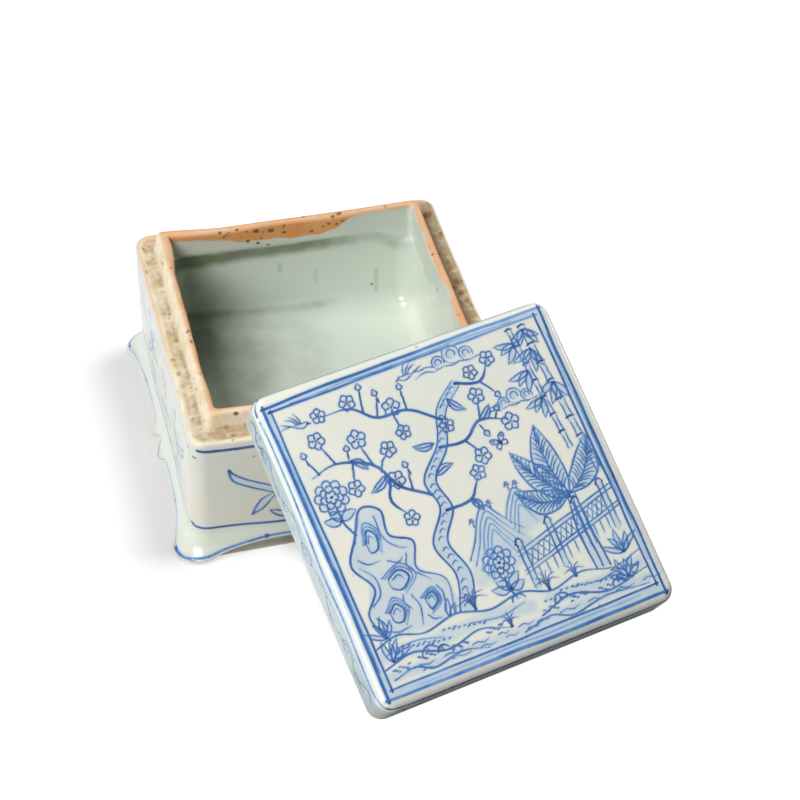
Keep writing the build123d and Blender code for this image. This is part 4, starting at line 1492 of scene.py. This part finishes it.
# Floor and light. The seen floor has lamps of its own, so that the soft shadow falls to the left. Two
# floors that the camera doesn't see return the other lamps' light to the object: a pale one on the
# left, and a darker one on the right, under the cover.
seen_reach = 0.8  # the seen floor ends where it is still evenly lit, against the white world
seen_height, bounce_height = -0.00002, -0.00004
floor_grey, floor_glow = 0.6, 0.28
bounce_reach = 3.0
bounce_edge = -0.02  # where the pale floor meets the darker one
bounce_pale, bounce_dark = 0.82, 0.36
world_light = 0.03
lamp_aim = Vector((0.01, -0.03, 0.03))


def floor_sheet(name, height, left, right, depth):
    """A level sheet that is part of the stage."""
    mesh = bpy.data.meshes.new(name)
    mesh.from_pydata([(left, -depth, 0), (right, -depth, 0), (right, depth, 0), (left, depth, 0)], [],
                     [(0, 1, 2, 3)])
    sheet = bpy.data.objects.new(name, mesh)
    sheet.location.z = height
    bpy.context.scene.collection.objects.link(sheet)
    return sheet


n = Nodes(bpy.data.materials.new("floor_white"))
matt = n.node("ShaderNodeBsdfDiffuse", {"Color": (floor_grey, floor_grey, floor_grey, 1)})
glow = n.node("ShaderNodeEmission", {"Color": (1, 1, 1, 1), "Strength": floor_glow})
both = n.node("ShaderNodeAddShader", {0: matt.outputs[0], 1: glow.outputs[0]})
n.node("ShaderNodeOutputMaterial", {"Surface": both.outputs[0]})
seen_floor = floor_sheet("floor", seen_height, -seen_reach, seen_reach, seen_reach)
seen_floor.data.materials.append(n.owner)
for ray in ("diffuse", "glossy", "transmission", "shadow"):
    setattr(seen_floor, "visible_" + ray, False)
for name, grey, left, right_end in (("floor_bounce_left", bounce_pale, -bounce_reach, bounce_edge),
                                    ("floor_bounce_right", bounce_dark, bounce_edge, bounce_reach)):
    n = Nodes(bpy.data.materials.new(name))
    matt = n.node("ShaderNodeBsdfDiffuse", {"Color": (grey, grey, grey, 1)})
    n.node("ShaderNodeOutputMaterial", {"Surface": matt.outputs[0]})
    bounce_floor = floor_sheet(name, bounce_height, left, right_end, bounce_reach)
    bounce_floor.data.materials.append(n.owner)
    bounce_floor.visible_camera = False

# The world is white to the camera and dim to other rays
n = Nodes(bpy.data.worlds.new("studio"))
bpy.context.scene.world = n.owner
to_camera = n.node("ShaderNodeLightPath").outputs["Is Camera Ray"]
dim = n.node("ShaderNodeBackground", {"Strength": world_light})
white = n.node("ShaderNodeBackground", {"Color": (1, 1, 1, 1), "Strength": 1.0})
blend = n.node("ShaderNodeMixShader", {0: to_camera, 1: dim.outputs[0], 2: white.outputs[0]})
n.node("ShaderNodeOutputWorld", {"Surface": blend.outputs[0]})


def softbox(name, place, size, power, only=None, without=None, blockers=()):
    """A square lamp that faces the object. It may light one thing only, or leave it out.

    If blockers are given, only they throw its shadow.
    """
    data = bpy.data.lights.new(name, "AREA")
    data.size = size
    data.energy = power
    lamp = bpy.data.objects.new(name, data)
    lamp.location = place
    lamp.rotation_mode = "QUATERNION"
    lamp.rotation_quaternion = (lamp_aim - Vector(place)).to_track_quat("-Z", "Y")
    bpy.context.scene.collection.objects.link(lamp)
    if only or without:
        group = bpy.data.collections.new(name + "_lights")
        group.objects.link(only or without)
        lamp.light_linking.receiver_collection = group
        if without:
            group.collection_objects[0].light_linking.link_state = "EXCLUDE"
    if blockers:
        group = bpy.data.collections.new(name + "_shadows")
        for piece in blockers:
            group.objects.link(piece)
        lamp.light_linking.blocker_collection = group


softbox("key_high", (-0.5, 0.0, 0.92), 0.45, 7.5, without=seen_floor)
softbox("key_front", (-0.53, -0.65, 0.62), 0.45, 5.8, without=seen_floor)
softbox("fill_back", (0.5, 0.62, 0.8), 0.45, 2.4, without=seen_floor)
softbox("fill_low", (0.85, 0.4, 0.12), 0.45, 4.2, without=seen_floor)
softbox("floor_right", (1.55, 0.25, 3.4), 1.4, 124.0, only=seen_floor, blockers=body)
softbox("floor_left", (-0.5, -2.3, 3.2), 1.0, 112.0, only=seen_floor, blockers=lid)

bpy.context.scene.view_settings.view_transform = "Standard"
